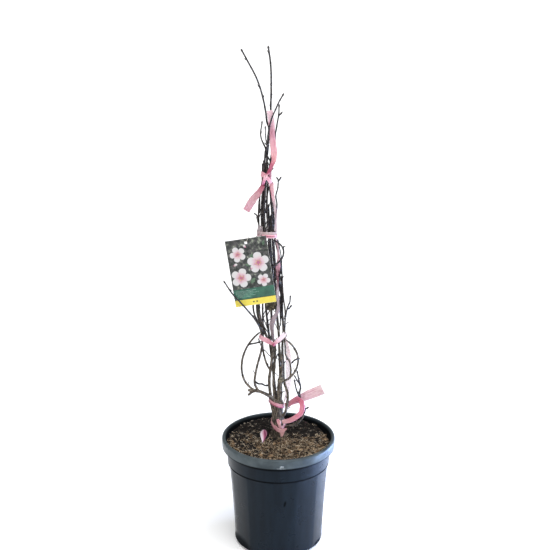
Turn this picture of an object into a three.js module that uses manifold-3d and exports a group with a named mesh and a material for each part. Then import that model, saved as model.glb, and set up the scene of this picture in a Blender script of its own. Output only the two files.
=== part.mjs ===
// A young bare magnolia in a nursery pot. Its upright stems leave a short trunk just above the
// mulch, are bound into a slim bundle with ribbon tape at four heights, and carry a picture label.
// Millimetres, +Z up. The origin is the centre of the pot's flat underside, -Y is the front,
// the side the label faces, and +X is to the right of someone looking at that side.
import * as THREE from "three";
import { mergeVertices } from "three/addons/utils/BufferGeometryUtils.js";
import Module from "manifold-3d";

const wasm = await Module();
wasm.setup();

// ---------------------------------------------------------------- driving dimensions

const CLEARANCE = 0.3; // between neighbouring solids
const WELD = 1e-3; // vertices closer than this are one

const POT = {
  segments: 48,
  height: 283,
  rimRadius: 140,
  mouthRadius: 131, // inside the rolled rim
  rimDepth: 25, // of the skirt that hangs from the rim
  collarRadius: 129, // of the smooth band under the rim
  stepHeight: 215, // where the collar steps in to the fluted wall
  stepDepth: 2.5,
  wallTop: 123.5,
  wallBottom: 110.5,
  wallBow: 1.35, // above 1 the wall opens out towards the top
  cornerHeight: 12,
  footRadius: 101,
  footWidth: 5,
  floorLift: 6,
  floorThickness: 2.5,
  wall: 2,
  ribs: 12,
  ribPhase: THREE.MathUtils.degToRad(21),
  fluteDepth: 1.5,
  notchRadius: 8,
  drainHoles: 6,
  drainRadius: 7,
  drainCircle: 68,
};

const SOIL = {
  segments: 36,
  wallLevel: 266, // where the mulch meets the pot
  crownLevel: 278, // round the trunk
  crownRadius: 44, // flat to here
  roughness: 1.6,
};

// Heights that the stems are set out by. The upper three ties sit at middle, upper and top.
const LEVEL = {
  fork: 388,
  knee: 430,
  waist: 470,
  saddle: 520,
  middle: 556,
  belly: 612,
  label: 650,
  flank: 690,
  hip: 722,
  shoulder: 760,
  upper: 806,
  neck: 872,
  top: 946,
  crest: 1000,
};

// Trunk sections: height, then the centre and the half widths across and in depth.
const TRUNK_SECTIONS = [
  { z: 278.3, x: 1, y: 13, across: 22, deep: 21 },
  { z: 283, x: 0.5, y: 12, across: 18.5, deep: 18 },
  { z: 291, x: 0, y: 10, across: 16, deep: 15.6 },
  { z: 303, x: -0.5, y: 8.5, across: 15.2, deep: 14.8 },
  { z: 333, x: -1.5, y: 6, across: 14.4, deep: 13.8 },
  { z: 350, x: -2.5, y: 5, across: 14.2, deep: 13.6 },
  { z: 364, x: -4.5, y: 4, across: 16, deep: 14 },
  { z: 374, x: -5, y: 4, across: 16.6, deep: 14 },
  { z: 380, x: -5, y: 4, across: 13, deep: 11 },
];
const TRUNK_SIDES = 20;
const ROOT_BUTTRESSES = 5;

// Limbs. Each starts inside the piece it grows on, at `root` or at a fraction `at` of that limb's
// length, runs `through` the points it has at the named levels, or along `via` points, or swings
// out in a `bow` between two pull points, and tapers from radius `foot` to radius `tip`. `collar` is the
// length that belongs to the parent, up to the saw-clean joint between the two solids.
const LIMBS = [
  {
    name: "bough_left", on: "trunk", root: [-8, -2, 362], collar: 27, foot: 4.6, tip: 3.3,
    via: [[-15.4, -5, 386.5], [-29, -7.5, 397], [-43, -8, 404], [-56, -7, 406.5], [-64, -7, 405]],
    spurs: [{ at: 0.93, to: [-74, -8, 409], foot: 2.7 }, { at: 0.93, to: [-74, -7, 395], foot: 2.2 }],
  },
  {
    name: "stem_cut", on: "trunk", root: [1, 2, 362], collar: 30, foot: 5.8, tip: 5,
    via: [[1.5, -1, 392], [2.5, -1.5, 415], [6, -1.5, 437], [6.5, -1, 466]],
    knob: { at: 0.66, swell: 2.2 },
  },
  {
    name: "stem_front_left", on: "trunk", root: [-12, 5, 362], collar: 22, foot: 3.3, tip: 1.9,
    through: {
      fork: [-19, 5], knee: [-22.5, 3], waist: [-18, -1], saddle: [-14.5, -6.5], middle: [-31, -9],
      belly: [-46, -10], flank: [-43.5, -9.5], upper: [-32.5, -9], neck: [-33.5, -7.5],
      top: [-28.5, -6], crest: [-26.5, 3],
    },
  },
  {
    name: "stem_front", on: "trunk", root: [-7, 2, 362], collar: 22, foot: 2.9, tip: 1.8,
    through: {
      fork: [-10, 1], knee: [-12, 2], waist: [-9.5, 1], saddle: [-8.5, -1.5], middle: [-15.5, -2],
      belly: [-17, -4], flank: [-19, -6], upper: [-23, -8], neck: [-27.5, -2], top: [-23, 1.5],
      crest: [-16, 8],
    },
  },
  {
    name: "stem_back_left", on: "trunk", root: [-5, 9, 362], collar: 22, foot: 2.9, tip: 1.7,
    through: {
      fork: [-7, 14], waist: [-15, 13], middle: [-24, 11.5], belly: [-30, 14], flank: [-33, 13],
      upper: [-36, 8.5], neck: [-37.5, 10], top: [-26.5, 7.3],
    },
  },
  {
    name: "stem_back_right", on: "trunk", root: [3, 8, 362], collar: 22, foot: 2.8, tip: 1.7,
    through: {
      fork: [7, 14], waist: [3, 13], middle: [0, 12], belly: [-6, 13], flank: [-13, 12],
      upper: [-20.5, 8], neck: [-23.5, 6],
    },
  },
  {
    name: "stem_right", on: "trunk", root: [4, 1, 322], collar: 26, foot: 3, tip: 2,
    via: [[16, -5, 345], [19.5, -8, 360], [22, -6, 378], [22.5, -3, 398], [14, 6, 424]],
    through: {
      waist: [12, 9], saddle: [9.5, 4.5], middle: [12, 3], belly: [8.5, 3], label: [7, 3],
      flank: [-1, 3.5], hip: [6.5, 5.5], shoulder: [-1, 4], upper: [-10.5, 2],
    },
    beyond: [-9, 1, 832],
  },
  {
    name: "shoot_low_right", on: "trunk", root: [3, 7, 296], collar: 20, foot: 2.8, tip: 2.3,
    via: [[26, -1, 309], [42, -4, 316], [56, -5, 328], [63, -4, 346]],
  },
  {
    name: "stem_left", on: "bough_left", at: 0.81, collar: 7, foot: 2.5, tip: 1.9,
    via: [[-58, -6, 425], [-57, -5, 443]],
    through: {
      waist: [-52, -4], saddle: [-40, -3], middle: [-40.5, -3], belly: [-51, -3], flank: [-50, -3],
      upper: [-40, -6], neck: [-39.5, -5], top: [-34.5, -3], crest: [-31, -5],
    },
  },
  {
    name: "stem_left_inner", on: "stem_front_left", at: 0.15, collar: 8, foot: 2, tip: 1.5,
    via: [[-29, 3, 474]],
    through: {
      saddle: [-38.5, 4.5], middle: [-37, 6], belly: [-38, 5], flank: [-38, 5], upper: [-33.5, 1.5],
      neck: [-34.5, 2.5], top: [-31, 3],
    },
    beyond: [-30, 3.5, 957],
  },
  {
    name: "stem_far_left", on: "stem_left", at: 0.262, collar: 10, foot: 1.9, tip: 1.4,
    via: [[-44.5, 2.2, 567], [-51, 4, 584]],
    through: {
      belly: [-60, 3.5], flank: [-57, 2.5], upper: [-46.5, 1], neck: [-46.5, 1], top: [-36.6, 3.3],
    },
    beyond: [-36.5, 3.5, 954],
    spurs: [{ at: 0.72, to: [-57, 0, 856], foot: 1.1 }],
  },
  {
    name: "stem_middle", on: "stem_cut", at: 0.76, collar: 14, foot: 2.4, tip: 1.7,
    via: [[8, -9.6, 452], [9.3, -9.8, 470], [7.5, -8.5, 492]],
    through: {
      saddle: [2, -7], middle: [1, -5], belly: [-4, -3], flank: [-8, -2], upper: [-15, -5],
      neck: [-16, -4], top: [-19.5, -3], crest: [-10, 1],
    },
  },
  {
    name: "loop_right_lower", on: "stem_cut", at: 0.64, collar: 10.5, foot: 2.5, tip: 2.1,
    bow: { pull: [[40, -3, 432], [72, -4, 495]], end: [21.5, -5, 537], from: 0, to: 0.56 },
  },
  {
    name: "loop_right_upper", on: "loop_right_lower", foot: 2.1, tip: 2, continues: true,
    bow: { from: 0.56, to: 1 },
  },
  {
    name: "stem_far_right", on: "loop_right_lower", at: 0.42, collar: 6.5, foot: 1.9, tip: 1.3,
    via: [[30, -2, 463], [27, -3, 482], [18, -3, 498]],
    through: {
      saddle: [16, -3], middle: [15, -3], belly: [16, -4], label: [11.5, -3], flank: [9, -1],
    },
    beyond: [6.8, 0, 733],
  },
  {
    name: "loop_left_lower", on: "bough_left", at: 0.84, collar: 15, foot: 2.6, tip: 2.3,
    bow: { pull: [[-98, -1, 415], [-108, 4, 500]], end: [-48.2, 4, 553], from: 0, to: 0.52 },
  },
  {
    name: "loop_left_upper", on: "loop_left_lower", foot: 2.3, tip: 1.9, continues: true,
    bow: { from: 0.52, to: 1 },
  },
  {
    name: "loop_small", on: "stem_front", at: 0.572, collar: 5, foot: 1.9, tip: 1.6,
    bow: { pull: [[10, -26, 740], [30, -18, 778]], end: [-12, -13.5, 794.5], from: 0, to: 1 },
    spurs: [{ at: 0.66, to: [13.5, -18, 781], foot: 1 }],
  },
];

// Masses of bare twigs. `lead` runs from the tip of limb `on`, or from a fraction `at` of its
// length. `forks` are its main side twigs. Buds and short spurs are dealt out along all of
// them by the seeded rule in growTwigs, and none may stand further than `room` from its twig.
const MASSES = [
  {
    name: "twigs_top_left", on: "stem_front_left", foot: 2.1, tip: 1.5, room: 9, seed: 11,
    lead: [[-25.9, 1.5, 1018], [-24, -1, 1042], [-22.5, -3, 1061], [-26.3, -3, 1072],
      [-29.2, -2.5, 1095], [-33, -3, 1117], [-40, -7, 1147], [-51, -11, 1179], [-65, -14, 1207],
      [-83, -18, 1241]],
  },
  {
    name: "twigs_top_middle", on: "stem_front", foot: 2.1, tip: 1.8, room: 8, seed: 12,
    lead: [[-14, 10, 1040], [-18, 12, 1099], [-17, 13.5, 1145], [-18, 15.5, 1200], [-23.5, 17, 1242]],
  },
  {
    name: "twigs_top_right", on: "stem_left", foot: 2, tip: 1.2, room: 8, seed: 13,
    lead: [[-25, -12, 1024], [-21, -15, 1066], [-15.5, -16, 1086], [-7, -15, 1106], [0, -14, 1122],
      [10, -14, 1140]],
    forks: [{ at: 0.08, via: [-41, 1, 1040], to: [-38, 7, 1072], foot: 1.6 }],
  },
  {
    name: "twigs_top_inner", on: "stem_middle", foot: 1.9, tip: 1.2, room: 8, seed: 14,
    lead: [[-8, 2, 1040], [-3, 3, 1071], [0, 4, 1090], [1, 4, 1111]],
    forks: [{ at: 0.79, via: [3.5, 4, 1091], to: [6.5, 4, 1094], foot: 1.3 }],
  },
  {
    name: "twigs_upper_right", on: "stem_right", foot: 1.9, tip: 1.1, room: 7, seed: 15,
    lead: [[-6.5, 1.5, 850], [-4, 2, 880], [-6.5, 2.5, 897], [-2, 4, 916], [0, 5, 933], [4.5, 6, 940]],
    forks: [{ at: 0.91, via: [-1.2, 4.8, 936], to: [-3.5, 4.5, 940], foot: 1 }],
  },
  {
    name: "twigs_label_left", on: "stem_front_left", at: 0.318, collar: 6.5, foot: 2, tip: 1.4, room: 8,
    seed: 16,
    lead: [[-42, -17, 572], [-54, -20, 595], [-75, -25.5, 625], [-91, -28, 645], [-108, -30, 665],
      [-128, -31, 697]],
  },
  {
    name: "twigs_middle_right", on: "stem_far_right", at: 0.545, collar: 10.7, foot: 1.7, tip: 1.3, room: 7,
    seed: 17,
    lead: [[22, -6, 624], [27, -9, 639], [28, -12, 653]],
    forks: [{ at: 0.25, via: [25, -3, 619], to: [30, 0, 625], foot: 1.3 }],
  },
  {
    name: "twigs_low_right", on: "shoot_low_right", foot: 2.3, tip: 1.4, room: 11, seed: 18,
    lead: [[64, -4, 358], [57, -3, 375], [52, -2, 396], [54, -1, 415], [50, 0, 432], [46, 2, 453]],
    forks: [
      { at: 0.02, via: [67, -4, 356], to: [72, -5, 360], foot: 1.4 },
      { at: 0.36, via: [45, -4, 405], to: [39, -7, 434], foot: 1.8 },
      { at: 0.68, via: [47, -3, 430], to: [40, -3, 443], foot: 1.4 },
    ],
  },
  {
    name: "twigs_low_left", on: "stem_left", at: 0.045, collar: 7.6, foot: 1.9, tip: 1.6, room: 6, seed: 19,
    lead: [[-48, -4.5, 424], [-40, -3, 423], [-33, -2, 418.5], [-27.5, -1, 418]],
  },
  {
    name: "twigs_loop_left", on: "loop_left_upper", at: 0.62, collar: 4.7, foot: 1.6, tip: 1.6, room: 6,
    seed: 20,
    lead: [[-62, 2, 527], [-54, 1, 529], [-46, 0, 532]],
  },
  {
    name: "twigs_loop_right", on: "loop_right_upper", at: 0.2, collar: 5, foot: 1.5, tip: 1.5, room: 6,
    seed: 21,
    lead: [[44, -5, 489], [39, -5.5, 487], [33.5, -6, 481]],
  },
  {
    name: "twigs_back_low", on: "stem_back_left", at: 0.13, collar: 8, foot: 1.9, tip: 1, room: 15, seed: 22,
    lead: [[-15, 28, 456], [-16, 45, 476], [-18, 60, 506], [-17, 66, 545]],
    forks: [{ at: 0.4, via: [-10, 52, 500], to: [-12, 47, 530], foot: 1.3 }],
  },
  {
    name: "twigs_back_middle", on: "stem_back_right", at: 0.66, collar: 9, foot: 1.8, tip: 1, room: 15,
    seed: 23,
    lead: [[-16, 24, 726], [-20, 38, 752], [-24, 50, 790], [-25, 54, 826]],
    forks: [{ at: 0.45, via: [-30, 38, 770], to: [-34, 34, 796], foot: 1.2 }],
  },
  {
    name: "twigs_back_top", on: "stem_back_left", foot: 1.6, tip: 1, room: 9, seed: 24,
    lead: [[-27, 12, 975], [-24, 22, 1010], [-21, 32, 1050], [-22, 38, 1084]],
    forks: [{ at: 0.4, via: [-30, 26, 1030], to: [-31, 24, 1056], foot: 1.1 }],
  },
];

const TWIG = {
  internode: 24, // between buds
  turn: THREE.MathUtils.degToRad(144), // from one bud to the next round the twig
  budLength: 6.5,
  budRadius: 1.45,
  endBudLength: 11,
  spurChance: 0.3,
  spurLength: 9,
};

const TAPE_THICKNESS = 1.1; // larger than life, as the film is drawn into folds

const LABEL = {
  width: 98,
  height: 165,
  thickness: 0.8,
  lean: THREE.MathUtils.degToRad(1.8), // foot further out than the head
  roll: THREE.MathUtils.degToRad(8.7),
  centre: [-65.5, -19.5, 718.5],
  hole: { across: -0.5, up: 72, radius: 2.6 },
};

const COLOUR = {
  pot: 0x363d43,
  mulch: 0x5b4a3a,
  bark: 0x4c443c,
  twig: 0x352b2a,
  tape: 0xdba3b2,
  label: 0x4f7a64,
  thread: 0xd9d4c8,
  petal: 0xe9c9d4,
  leaf: 0x5a4a3a,
};

// ---------------------------------------------------------------- making solids

const vec = (p) => new THREE.Vector3(...p);

// A repeatable stream of numbers from 0 to 1.
function stream(seed) {
  let state = seed;
  return () => {
    state = (state * 16807) % 2147483647;
    return state / 2147483647;
  };
}

function toSolid(geometry) {
  const loose = geometry.index ? geometry.toNonIndexed() : geometry;
  const bare = new THREE.BufferGeometry().setAttribute("position", loose.getAttribute("position"));
  const merged = mergeVertices(bare, WELD);
  return new wasm.Manifold(
    new wasm.Mesh({
      numProp: 3,
      vertProperties: merged.attributes.position.array,
      triVerts: new Uint32Array(merged.index.array),
    }),
  );
}

function toGeometry(solid) {
  const mesh = solid.getMesh();
  return new THREE.BufferGeometry()
    .setAttribute("position", new THREE.BufferAttribute(mesh.vertProperties, 3))
    .setIndex(new THREE.BufferAttribute(mesh.triVerts, 1));
}

const fuse = (geometries) =>
  toGeometry(geometries.map(toSolid).reduce((whole, piece) => whole.add(piece)));

const carve = (geometry, tools) =>
  toGeometry(tools.map(toSolid).reduce((left, tool) => left.subtract(tool), toSolid(geometry)));

// Skins a row of rings of equally many points. The points of a ring run anticlockwise for someone
// who looks back along the row. An endless row joins its last ring to its first.
function loft(rings, endless = false) {
  const count = rings[0].length;
  const index = [];
  const spans = endless ? rings.length : rings.length - 1;
  for (let i = 0; i < spans; i++) {
    const near = i * count;
    const far = ((i + 1) % rings.length) * count;
    for (let j = 0; j < count; j++) {
      const next = (j + 1) % count;
      index.push(near + j, near + next, far + next, near + j, far + next, far + j);
    }
  }
  const last = (rings.length - 1) * count;
  for (let j = 1; j < count - 1 && !endless; j++) {
    index.push(0, j + 1, j, last, last + j, last + j + 1);
  }
  return new THREE.BufferGeometry().setFromPoints(rings.flat()).setIndex(index);
}

// Points along a curve, each with the curve's direction and two square directions across it
// that turn as little as they can.
function stations(curve, from, to, count) {
  const row = [];
  let across = null;
  for (let i = 0; i <= count; i++) {
    const u = THREE.MathUtils.lerp(from, to, i / count);
    const along = curve.getTangentAt(u);
    if (!across) {
      const aside = Math.abs(along.y) > 0.8 ? new THREE.Vector3(1, 0, 0) : new THREE.Vector3(0, 1, 0);
      across = aside.cross(along);
    }
    across = across.clone().addScaledVector(along, -across.dot(along)).normalize();
    const deep = along.clone().cross(across);
    row.push({ u, point: curve.getPointAt(u), along, across, deep });
  }
  return row;
}

// A round limb along part of a curve, with its radius given as a function of the place on it.
function tube(curve, radiusAt, { from = 0, to = 1, sides = 6, step = 22 }) {
  const length = curve.getLength() * (to - from);
  const count = Math.max(2, Math.round(length / step));
  const rings = stations(curve, from, to, count).map(({ u, point, across, deep }) => {
    const ring = [];
    for (let j = 0; j < sides; j++) {
      const angle = (j / sides) * 2 * Math.PI;
      ring.push(
        point.clone()
          .addScaledVector(across, radiusAt(u) * Math.cos(angle))
          .addScaledVector(deep, radiusAt(u) * Math.sin(angle)),
      );
    }
    return ring;
  });
  return loft(rings);
}

// A bud, or a short spur that ends in one: fat near its foot and nearly pointed.
function spindle(foot, tip, radius, sides = 3) {
  const course = new THREE.LineCurve3(foot, tip);
  const profile = (u) => radius * (u < 0.25 ? 0.75 : u < 0.75 ? 1 : 0.2);
  return tube(course, profile, { sides, step: foot.distanceTo(tip) / 3 });
}

// ---------------------------------------------------------------- pot and mulch

const potWall = (z) => {
  const rise = (z - POT.cornerHeight) / (POT.stepHeight - POT.cornerHeight);
  return POT.wallBottom + (POT.wallTop - POT.wallBottom) * Math.max(0, rise) ** POT.wallBow;
};
const collar = (z) => {
  const rise = (z - POT.stepHeight) / (POT.height - POT.rimDepth - POT.stepHeight);
  return POT.wallTop + POT.stepDepth + (POT.collarRadius - POT.wallTop - POT.stepDepth) * rise;
};
const potInside = (z) => (z > POT.stepHeight ? collar(z) : potWall(z)) - POT.wall;

function pot() {
  const profile = [];
  const add = (radius, z) => profile.push(new THREE.Vector2(radius, z));
  const skirtFoot = POT.height - POT.rimDepth;
  const skirtInside = POT.rimRadius - POT.wall - 0.6;
  const shelf = POT.height - 6;

  add(0, POT.floorLift);
  add(POT.footRadius - POT.footWidth - 2, POT.floorLift);
  add(POT.footRadius - POT.footWidth, 0);
  add(POT.footRadius, 0);
  add(POT.footRadius + 5, 3.5);
  const fluteFrom = profile.length;
  for (const z of [12, 60, 110, 160, 195, 211]) add(potWall(z), z);
  const fluteTo = profile.length - 1;
  add(potWall(POT.stepHeight) - 0.4, POT.stepHeight - 1.5);
  add(collar(POT.stepHeight), POT.stepHeight + 1);
  add(collar(skirtFoot), skirtFoot);
  add(POT.mouthRadius - 0.2, shelf);
  add(skirtInside, shelf - 0.5);
  add(skirtInside - 0.3, skirtFoot);
  add(POT.rimRadius - 0.8, skirtFoot);
  add(POT.rimRadius, POT.height - 14);
  add(POT.rimRadius, POT.height - 5.5);
  add(POT.rimRadius - 1, POT.height - 2);
  add(POT.rimRadius - 3.6, POT.height);
  add(POT.mouthRadius + 2.4, POT.height);
  add(POT.mouthRadius, POT.height - 2.2);
  add(POT.mouthRadius - 1.6, shelf - 2);
  for (const z of [skirtFoot, POT.stepHeight + 4]) add(collar(z) - POT.wall, z);
  for (const z of [POT.stepHeight - 4, 150, 80]) add(potWall(z) - POT.wall - POT.fluteDepth, z);
  add(POT.wallBottom - POT.wall - POT.fluteDepth, POT.cornerHeight + 4);
  add(0, POT.floorLift + POT.floorThickness);

  const shell = new THREE.LatheGeometry(profile, POT.segments, POT.ribPhase);
  const places = shell.getAttribute("position");
  for (let i = 0; i <= POT.segments; i++) {
    // One on a rib, nought in the middle of a flute.
    const turn = ((i / POT.segments) * POT.ribs) % 1;
    const rib = Math.abs(2 * turn - 1) ** 1.6;
    for (let j = fluteFrom; j <= fluteTo; j++) {
      const at = i * profile.length + j;
      const radius = Math.hypot(places.getX(at), places.getZ(at));
      const scale = (radius - POT.fluteDepth * (1 - rib)) / radius;
      places.setXYZ(at, places.getX(at) * scale, places.getY(at), places.getZ(at) * scale);
    }
  }
  shell.rotateX(Math.PI / 2);

  // Drain notches through the foot between the ribs, and round holes in the floor.
  const cuts = [];
  for (let i = 0; i < POT.ribs; i++) {
    const angle = POT.ribPhase + ((i + 0.5) / POT.ribs) * 2 * Math.PI;
    const notch = new THREE.CylinderGeometry(POT.notchRadius, POT.notchRadius, 24, 10);
    notch.translate(0, POT.footRadius, 0).rotateZ(Math.PI + angle);
    cuts.push(notch);
  }
  for (let i = 0; i < POT.drainHoles; i++) {
    const angle = POT.ribPhase + (i / POT.drainHoles) * 2 * Math.PI;
    const hole = new THREE.CylinderGeometry(POT.drainRadius, POT.drainRadius, 20, 10);
    hole.rotateX(Math.PI / 2).translate(0, -POT.drainCircle, POT.floorLift).rotateZ(angle);
    cuts.push(hole);
  }
  return carve(shell, cuts);
}

// Height of the mulch: a flat crown round the trunk that falls to the wall, with small bumps,
// a little higher at the back on the left than at the front on the right.
function mulchHeight(x, y) {
  const radius = Math.hypot(x, y);
  const out = THREE.MathUtils.smoothstep(radius, SOIL.crownRadius, potInside(SOIL.wallLevel));
  const fall = (SOIL.crownLevel - SOIL.wallLevel) * out;
  const lean = 2.2 * out * (y - x) / 180;
  const bumps = Math.sin(x / 9 + 1.3 * Math.cos(y / 14)) * Math.cos(y / 11 - x / 23);
  return SOIL.crownLevel - fall + lean + SOIL.roughness * bumps * Math.min(1, 2.5 * out);
}

function rootBall() {
  const profile = [];
  const add = (radius, z) => profile.push(new THREE.Vector2(radius, z));
  const side = (z) => potInside(z) - CLEARANCE - 0.5 - (z > POT.stepHeight ? 0 : POT.fluteDepth);
  const bottom = POT.floorLift + POT.floorThickness + CLEARANCE;
  const under = POT.cornerHeight + 4 + CLEARANCE;
  add(0, bottom);
  add(POT.wallBottom - POT.wall - POT.fluteDepth - 1, under);
  for (const z of [80, 150, POT.stepHeight - 5]) add(side(z) - 0.2, z);
  add(side(POT.stepHeight + 5), POT.stepHeight + 5);
  const topFrom = profile.length;
  const edge = side(POT.height - POT.rimDepth);
  for (const part of [1, 0.9, 0.78, 0.66, 0.54, 0.42, 0.3, 0.16, 0]) add(edge * part, SOIL.wallLevel);

  const ball = new THREE.LatheGeometry(profile, SOIL.segments, POT.ribPhase).rotateX(Math.PI / 2);
  const places = ball.getAttribute("position");
  for (let i = 0; i <= SOIL.segments; i++) {
    for (let j = topFrom; j < profile.length; j++) {
      const at = i * profile.length + j;
      places.setZ(at, mulchHeight(places.getX(at), places.getY(at)));
    }
  }
  return ball;
}

// ---------------------------------------------------------------- limbs

const limbs = new Map(); // name to { curve, radiusAt, from, to } for every limb already set out
const taken = []; // balls along every limb and twig, for keeping new twigs clear of them

function occupy(owner, curve, radiusAt, from = 0) {
  const count = Math.ceil(curve.getLength() / 5);
  for (let i = 0; i <= count; i++) {
    const u = THREE.MathUtils.lerp(from, 1, i / count);
    taken.push({ owner, point: curve.getPointAt(u), radius: radiusAt(u) });
  }
}

const isClear = (owner, point, radius) =>
  taken.every(
    (ball) => ball.owner === owner || ball.point.distanceTo(point) > ball.radius + radius + 1,
  );

// The course of a limb as a curve from inside its parent to its tip.
function courseOf(limb) {
  if (limb.bow) {
    const whole = limb.continues ? limbs.get(limb.on).whole : bowFrom(limb);
    limb.whole = whole;
    return new PartCurve(whole, limb.bow.from, limb.bow.to);
  }
  const start = limb.root ? vec(limb.root) : limbs.get(limb.on).curve.getPointAt(limb.at);
  const points = [start, ...(limb.via ?? []).map(vec)];
  for (const [level, [x, y]] of Object.entries(limb.through ?? {})) {
    points.push(new THREE.Vector3(x, y, LEVEL[level]));
  }
  if (limb.beyond) points.push(vec(limb.beyond));
  return new THREE.CatmullRomCurve3(points, false, "centripetal");
}

function bowFrom(limb) {
  const start = limbs.get(limb.on).curve.getPointAt(limb.at);
  const [first, second] = limb.bow.pull.map(vec);
  return new THREE.CubicBezierCurve3(start, first, second, vec(limb.bow.end));
}

// A stretch of another curve.
class PartCurve extends THREE.Curve {
  constructor(whole, from, to) {
    super();
    Object.assign(this, { whole, from, to });
  }
  getPoint(t, target) {
    return this.whole.getPoint(this.from + (this.to - this.from) * t, target);
  }
}

// Radius along a limb: an even taper, with a swelling where it has a knob.
function taper({ foot, tip, knob }) {
  return (u) => {
    const swell = knob ? knob.swell * Math.exp(-(((u - knob.at) / 0.07) ** 2)) : 0;
    return foot + (tip - foot) * u + swell;
  };
}

// Sets out every limb, and returns the pieces of each node: its own tube, its spurs and the
// collars of the limbs that grow on it.
function layOutLimbs(pieces) {
  for (const limb of LIMBS) {
    const curve = courseOf(limb);
    const radiusAt = taper(limb);
    const length = curve.getLength();
    const sides = limb.foot > 4 ? 10 : limb.foot > 2.6 ? 7 : 6;
    const joint = (limb.collar ?? 0) / length;
    const from = joint + CLEARANCE / length;
    limbs.set(limb.name, { ...limb, curve, radiusAt });
    occupy(limb.name, curve, radiusAt, from);

    const own = [tube(curve, radiusAt, { from, sides, step: limb.knob ? 9 : limb.bow ? 13 : 26 })];
    for (const spur of limb.spurs ?? []) {
      own.push(spindle(curve.getPointAt(spur.at), vec(spur.to), spur.foot, 5));
    }
    pieces.set(limb.name, own);
    if (joint) pieces.get(limb.on).push(tube(curve, radiusAt, { to: joint, sides, step: 8 }));
  }
}

function trunk() {
  const rings = TRUNK_SECTIONS.map(({ z, x, y, across, deep }, level) => {
    const flare = Math.max(0, 1 - level / 3);
    const ring = [];
    for (let j = 0; j < TRUNK_SIDES; j++) {
      const angle = (j / TRUNK_SIDES) * 2 * Math.PI;
      const buttress = 1 + 0.1 * flare * Math.cos(ROOT_BUTTRESSES * angle + 0.7);
      const wander = 1 + 0.025 * Math.sin(3 * angle + z / 20);
      ring.push(
        new THREE.Vector3(
          x + across * buttress * wander * Math.cos(angle),
          y + deep * buttress * wander * Math.sin(angle),
          z,
        ),
      );
    }
    return ring;
  });
  return loft(rings);
}

// ---------------------------------------------------------------- twigs

// One mass of twigs: a lead and its forks, then along each of them a bud or a short spur every
// internode, each turned from the last, unless it would leave its room or touch a limb, and a
// longer bud at the end.
function growTwigs(mass, pieces) {
  const random = stream(mass.seed);
  const parent = limbs.get(mass.on);
  const fromSide = mass.at !== undefined;
  const start = parent.curve.getPointAt(fromSide ? mass.at : 1);
  const course = [start, ...mass.lead.map(vec)];
  if (!fromSide) {
    const onward = parent.curve.getTangentAt(1);
    start.addScaledVector(onward, CLEARANCE);
    course.splice(1, 0, start.clone().addScaledVector(onward, 4));
  }
  const lead = new THREE.CatmullRomCurve3(course, false, "centripetal");
  const radiusAt = taper(mass);

  let from = 0;
  if (fromSide) {
    const joint = mass.collar / lead.getLength();
    pieces.get(mass.on).push(tube(lead, radiusAt, { to: joint, sides: 5, step: 5 }));
    from = joint + CLEARANCE / lead.getLength();
  }
  const twigs = [{ curve: lead, radiusAt, from }];
  for (const fork of mass.forks ?? []) {
    const rise = from + (1 - from) * fork.at;
    const points = [lead.getPointAt(rise), vec(fork.via), vec(fork.to)];
    const curve = new THREE.CatmullRomCurve3(points, false, "centripetal");
    twigs.push({ curve, radiusAt: taper({ foot: fork.foot, tip: mass.tip * 0.85 }), from: 0 });
  }

  const made = twigs.map((twig) =>
    tube(twig.curve, twig.radiusAt, { from: twig.from, sides: 4, step: 14 }),
  );
  for (const twig of twigs) made.push(...budsAlong(twig, mass, random));
  for (const twig of twigs) occupy(mass.name, twig.curve, twig.radiusAt, twig.from);
  pieces.set(mass.name, made);
}

function budsAlong({ curve, radiusAt, from }, mass, random) {
  const made = [];
  const length = curve.getLength();
  const phase = random() * 2 * Math.PI;
  const first = from + (0.6 * TWIG.internode) / length;
  const frames = stations(curve, 0, 1, 40);
  let count = 0;
  for (let u = first; u < 1 - 0.4 * (TWIG.internode / length); u += TWIG.internode / length) {
    const { point, along, across, deep } = frames[Math.round(u * 40)];
    const angle = phase + TWIG.turn * count++;
    const spur = random() < TWIG.spurChance;
    const size = (spur ? TWIG.spurLength : TWIG.budLength) * (0.8 + 0.4 * random());
    const away = across.clone().multiplyScalar(Math.cos(angle)).addScaledVector(deep, Math.sin(angle));
    const heading = away.addScaledVector(along, spur ? 0.9 : 1.5).normalize();
    const tip = point.clone().addScaledVector(heading, radiusAt(u) + size);
    if (tip.distanceTo(point) > mass.room || !isClear(mass.name, tip, TWIG.budRadius)) continue;
    made.push(spindle(point, tip, TWIG.budRadius * (spur ? 0.8 : 1)));
  }
  const end = curve.getPointAt(1);
  const heading = curve.getTangentAt(1);
  const foot = end.clone().addScaledVector(heading, -0.6 * TWIG.endBudLength);
  const tip = end.clone().addScaledVector(heading, 0.4 * TWIG.endBudLength);
  made.push(spindle(foot, tip, radiusAt(1) + 0.55, 4));
  return made;
}

// ---------------------------------------------------------------- tape, label and litter

// A band of bunched tape round the bundle: an oval ring whose height may change on the way round.
// Angle 0 is on the right and a quarter turn later is at the back.
function tapeRing({ x, y, across, deep, height, width, folds = 0.8, count = 28 }) {
  const rings = [];
  for (let i = 0; i < count; i++) {
    const angle = (i / count) * 2 * Math.PI;
    const out = new THREE.Vector3(Math.cos(angle) / across, Math.sin(angle) / deep, 0).normalize();
    const z = height(angle);
    const half = width(angle) / 2;
    const centre = new THREE.Vector3(x + across * Math.cos(angle), y + deep * Math.sin(angle), z);
    const at = (up, depth) => centre.clone().addScaledVector(out, depth).setZ(z + up * half);
    rings.push([
      at(1, 0),
      at(0.9, TAPE_THICKNESS),
      at(0.3, TAPE_THICKNESS + folds * (0.6 + 0.4 * Math.sin(3 * angle))),
      at(-0.25, TAPE_THICKNESS + 0.2 * folds),
      at(-0.9, TAPE_THICKNESS + 0.6 * folds),
      at(-1, 0),
    ]);
  }
  return loft(rings, true);
}

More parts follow.
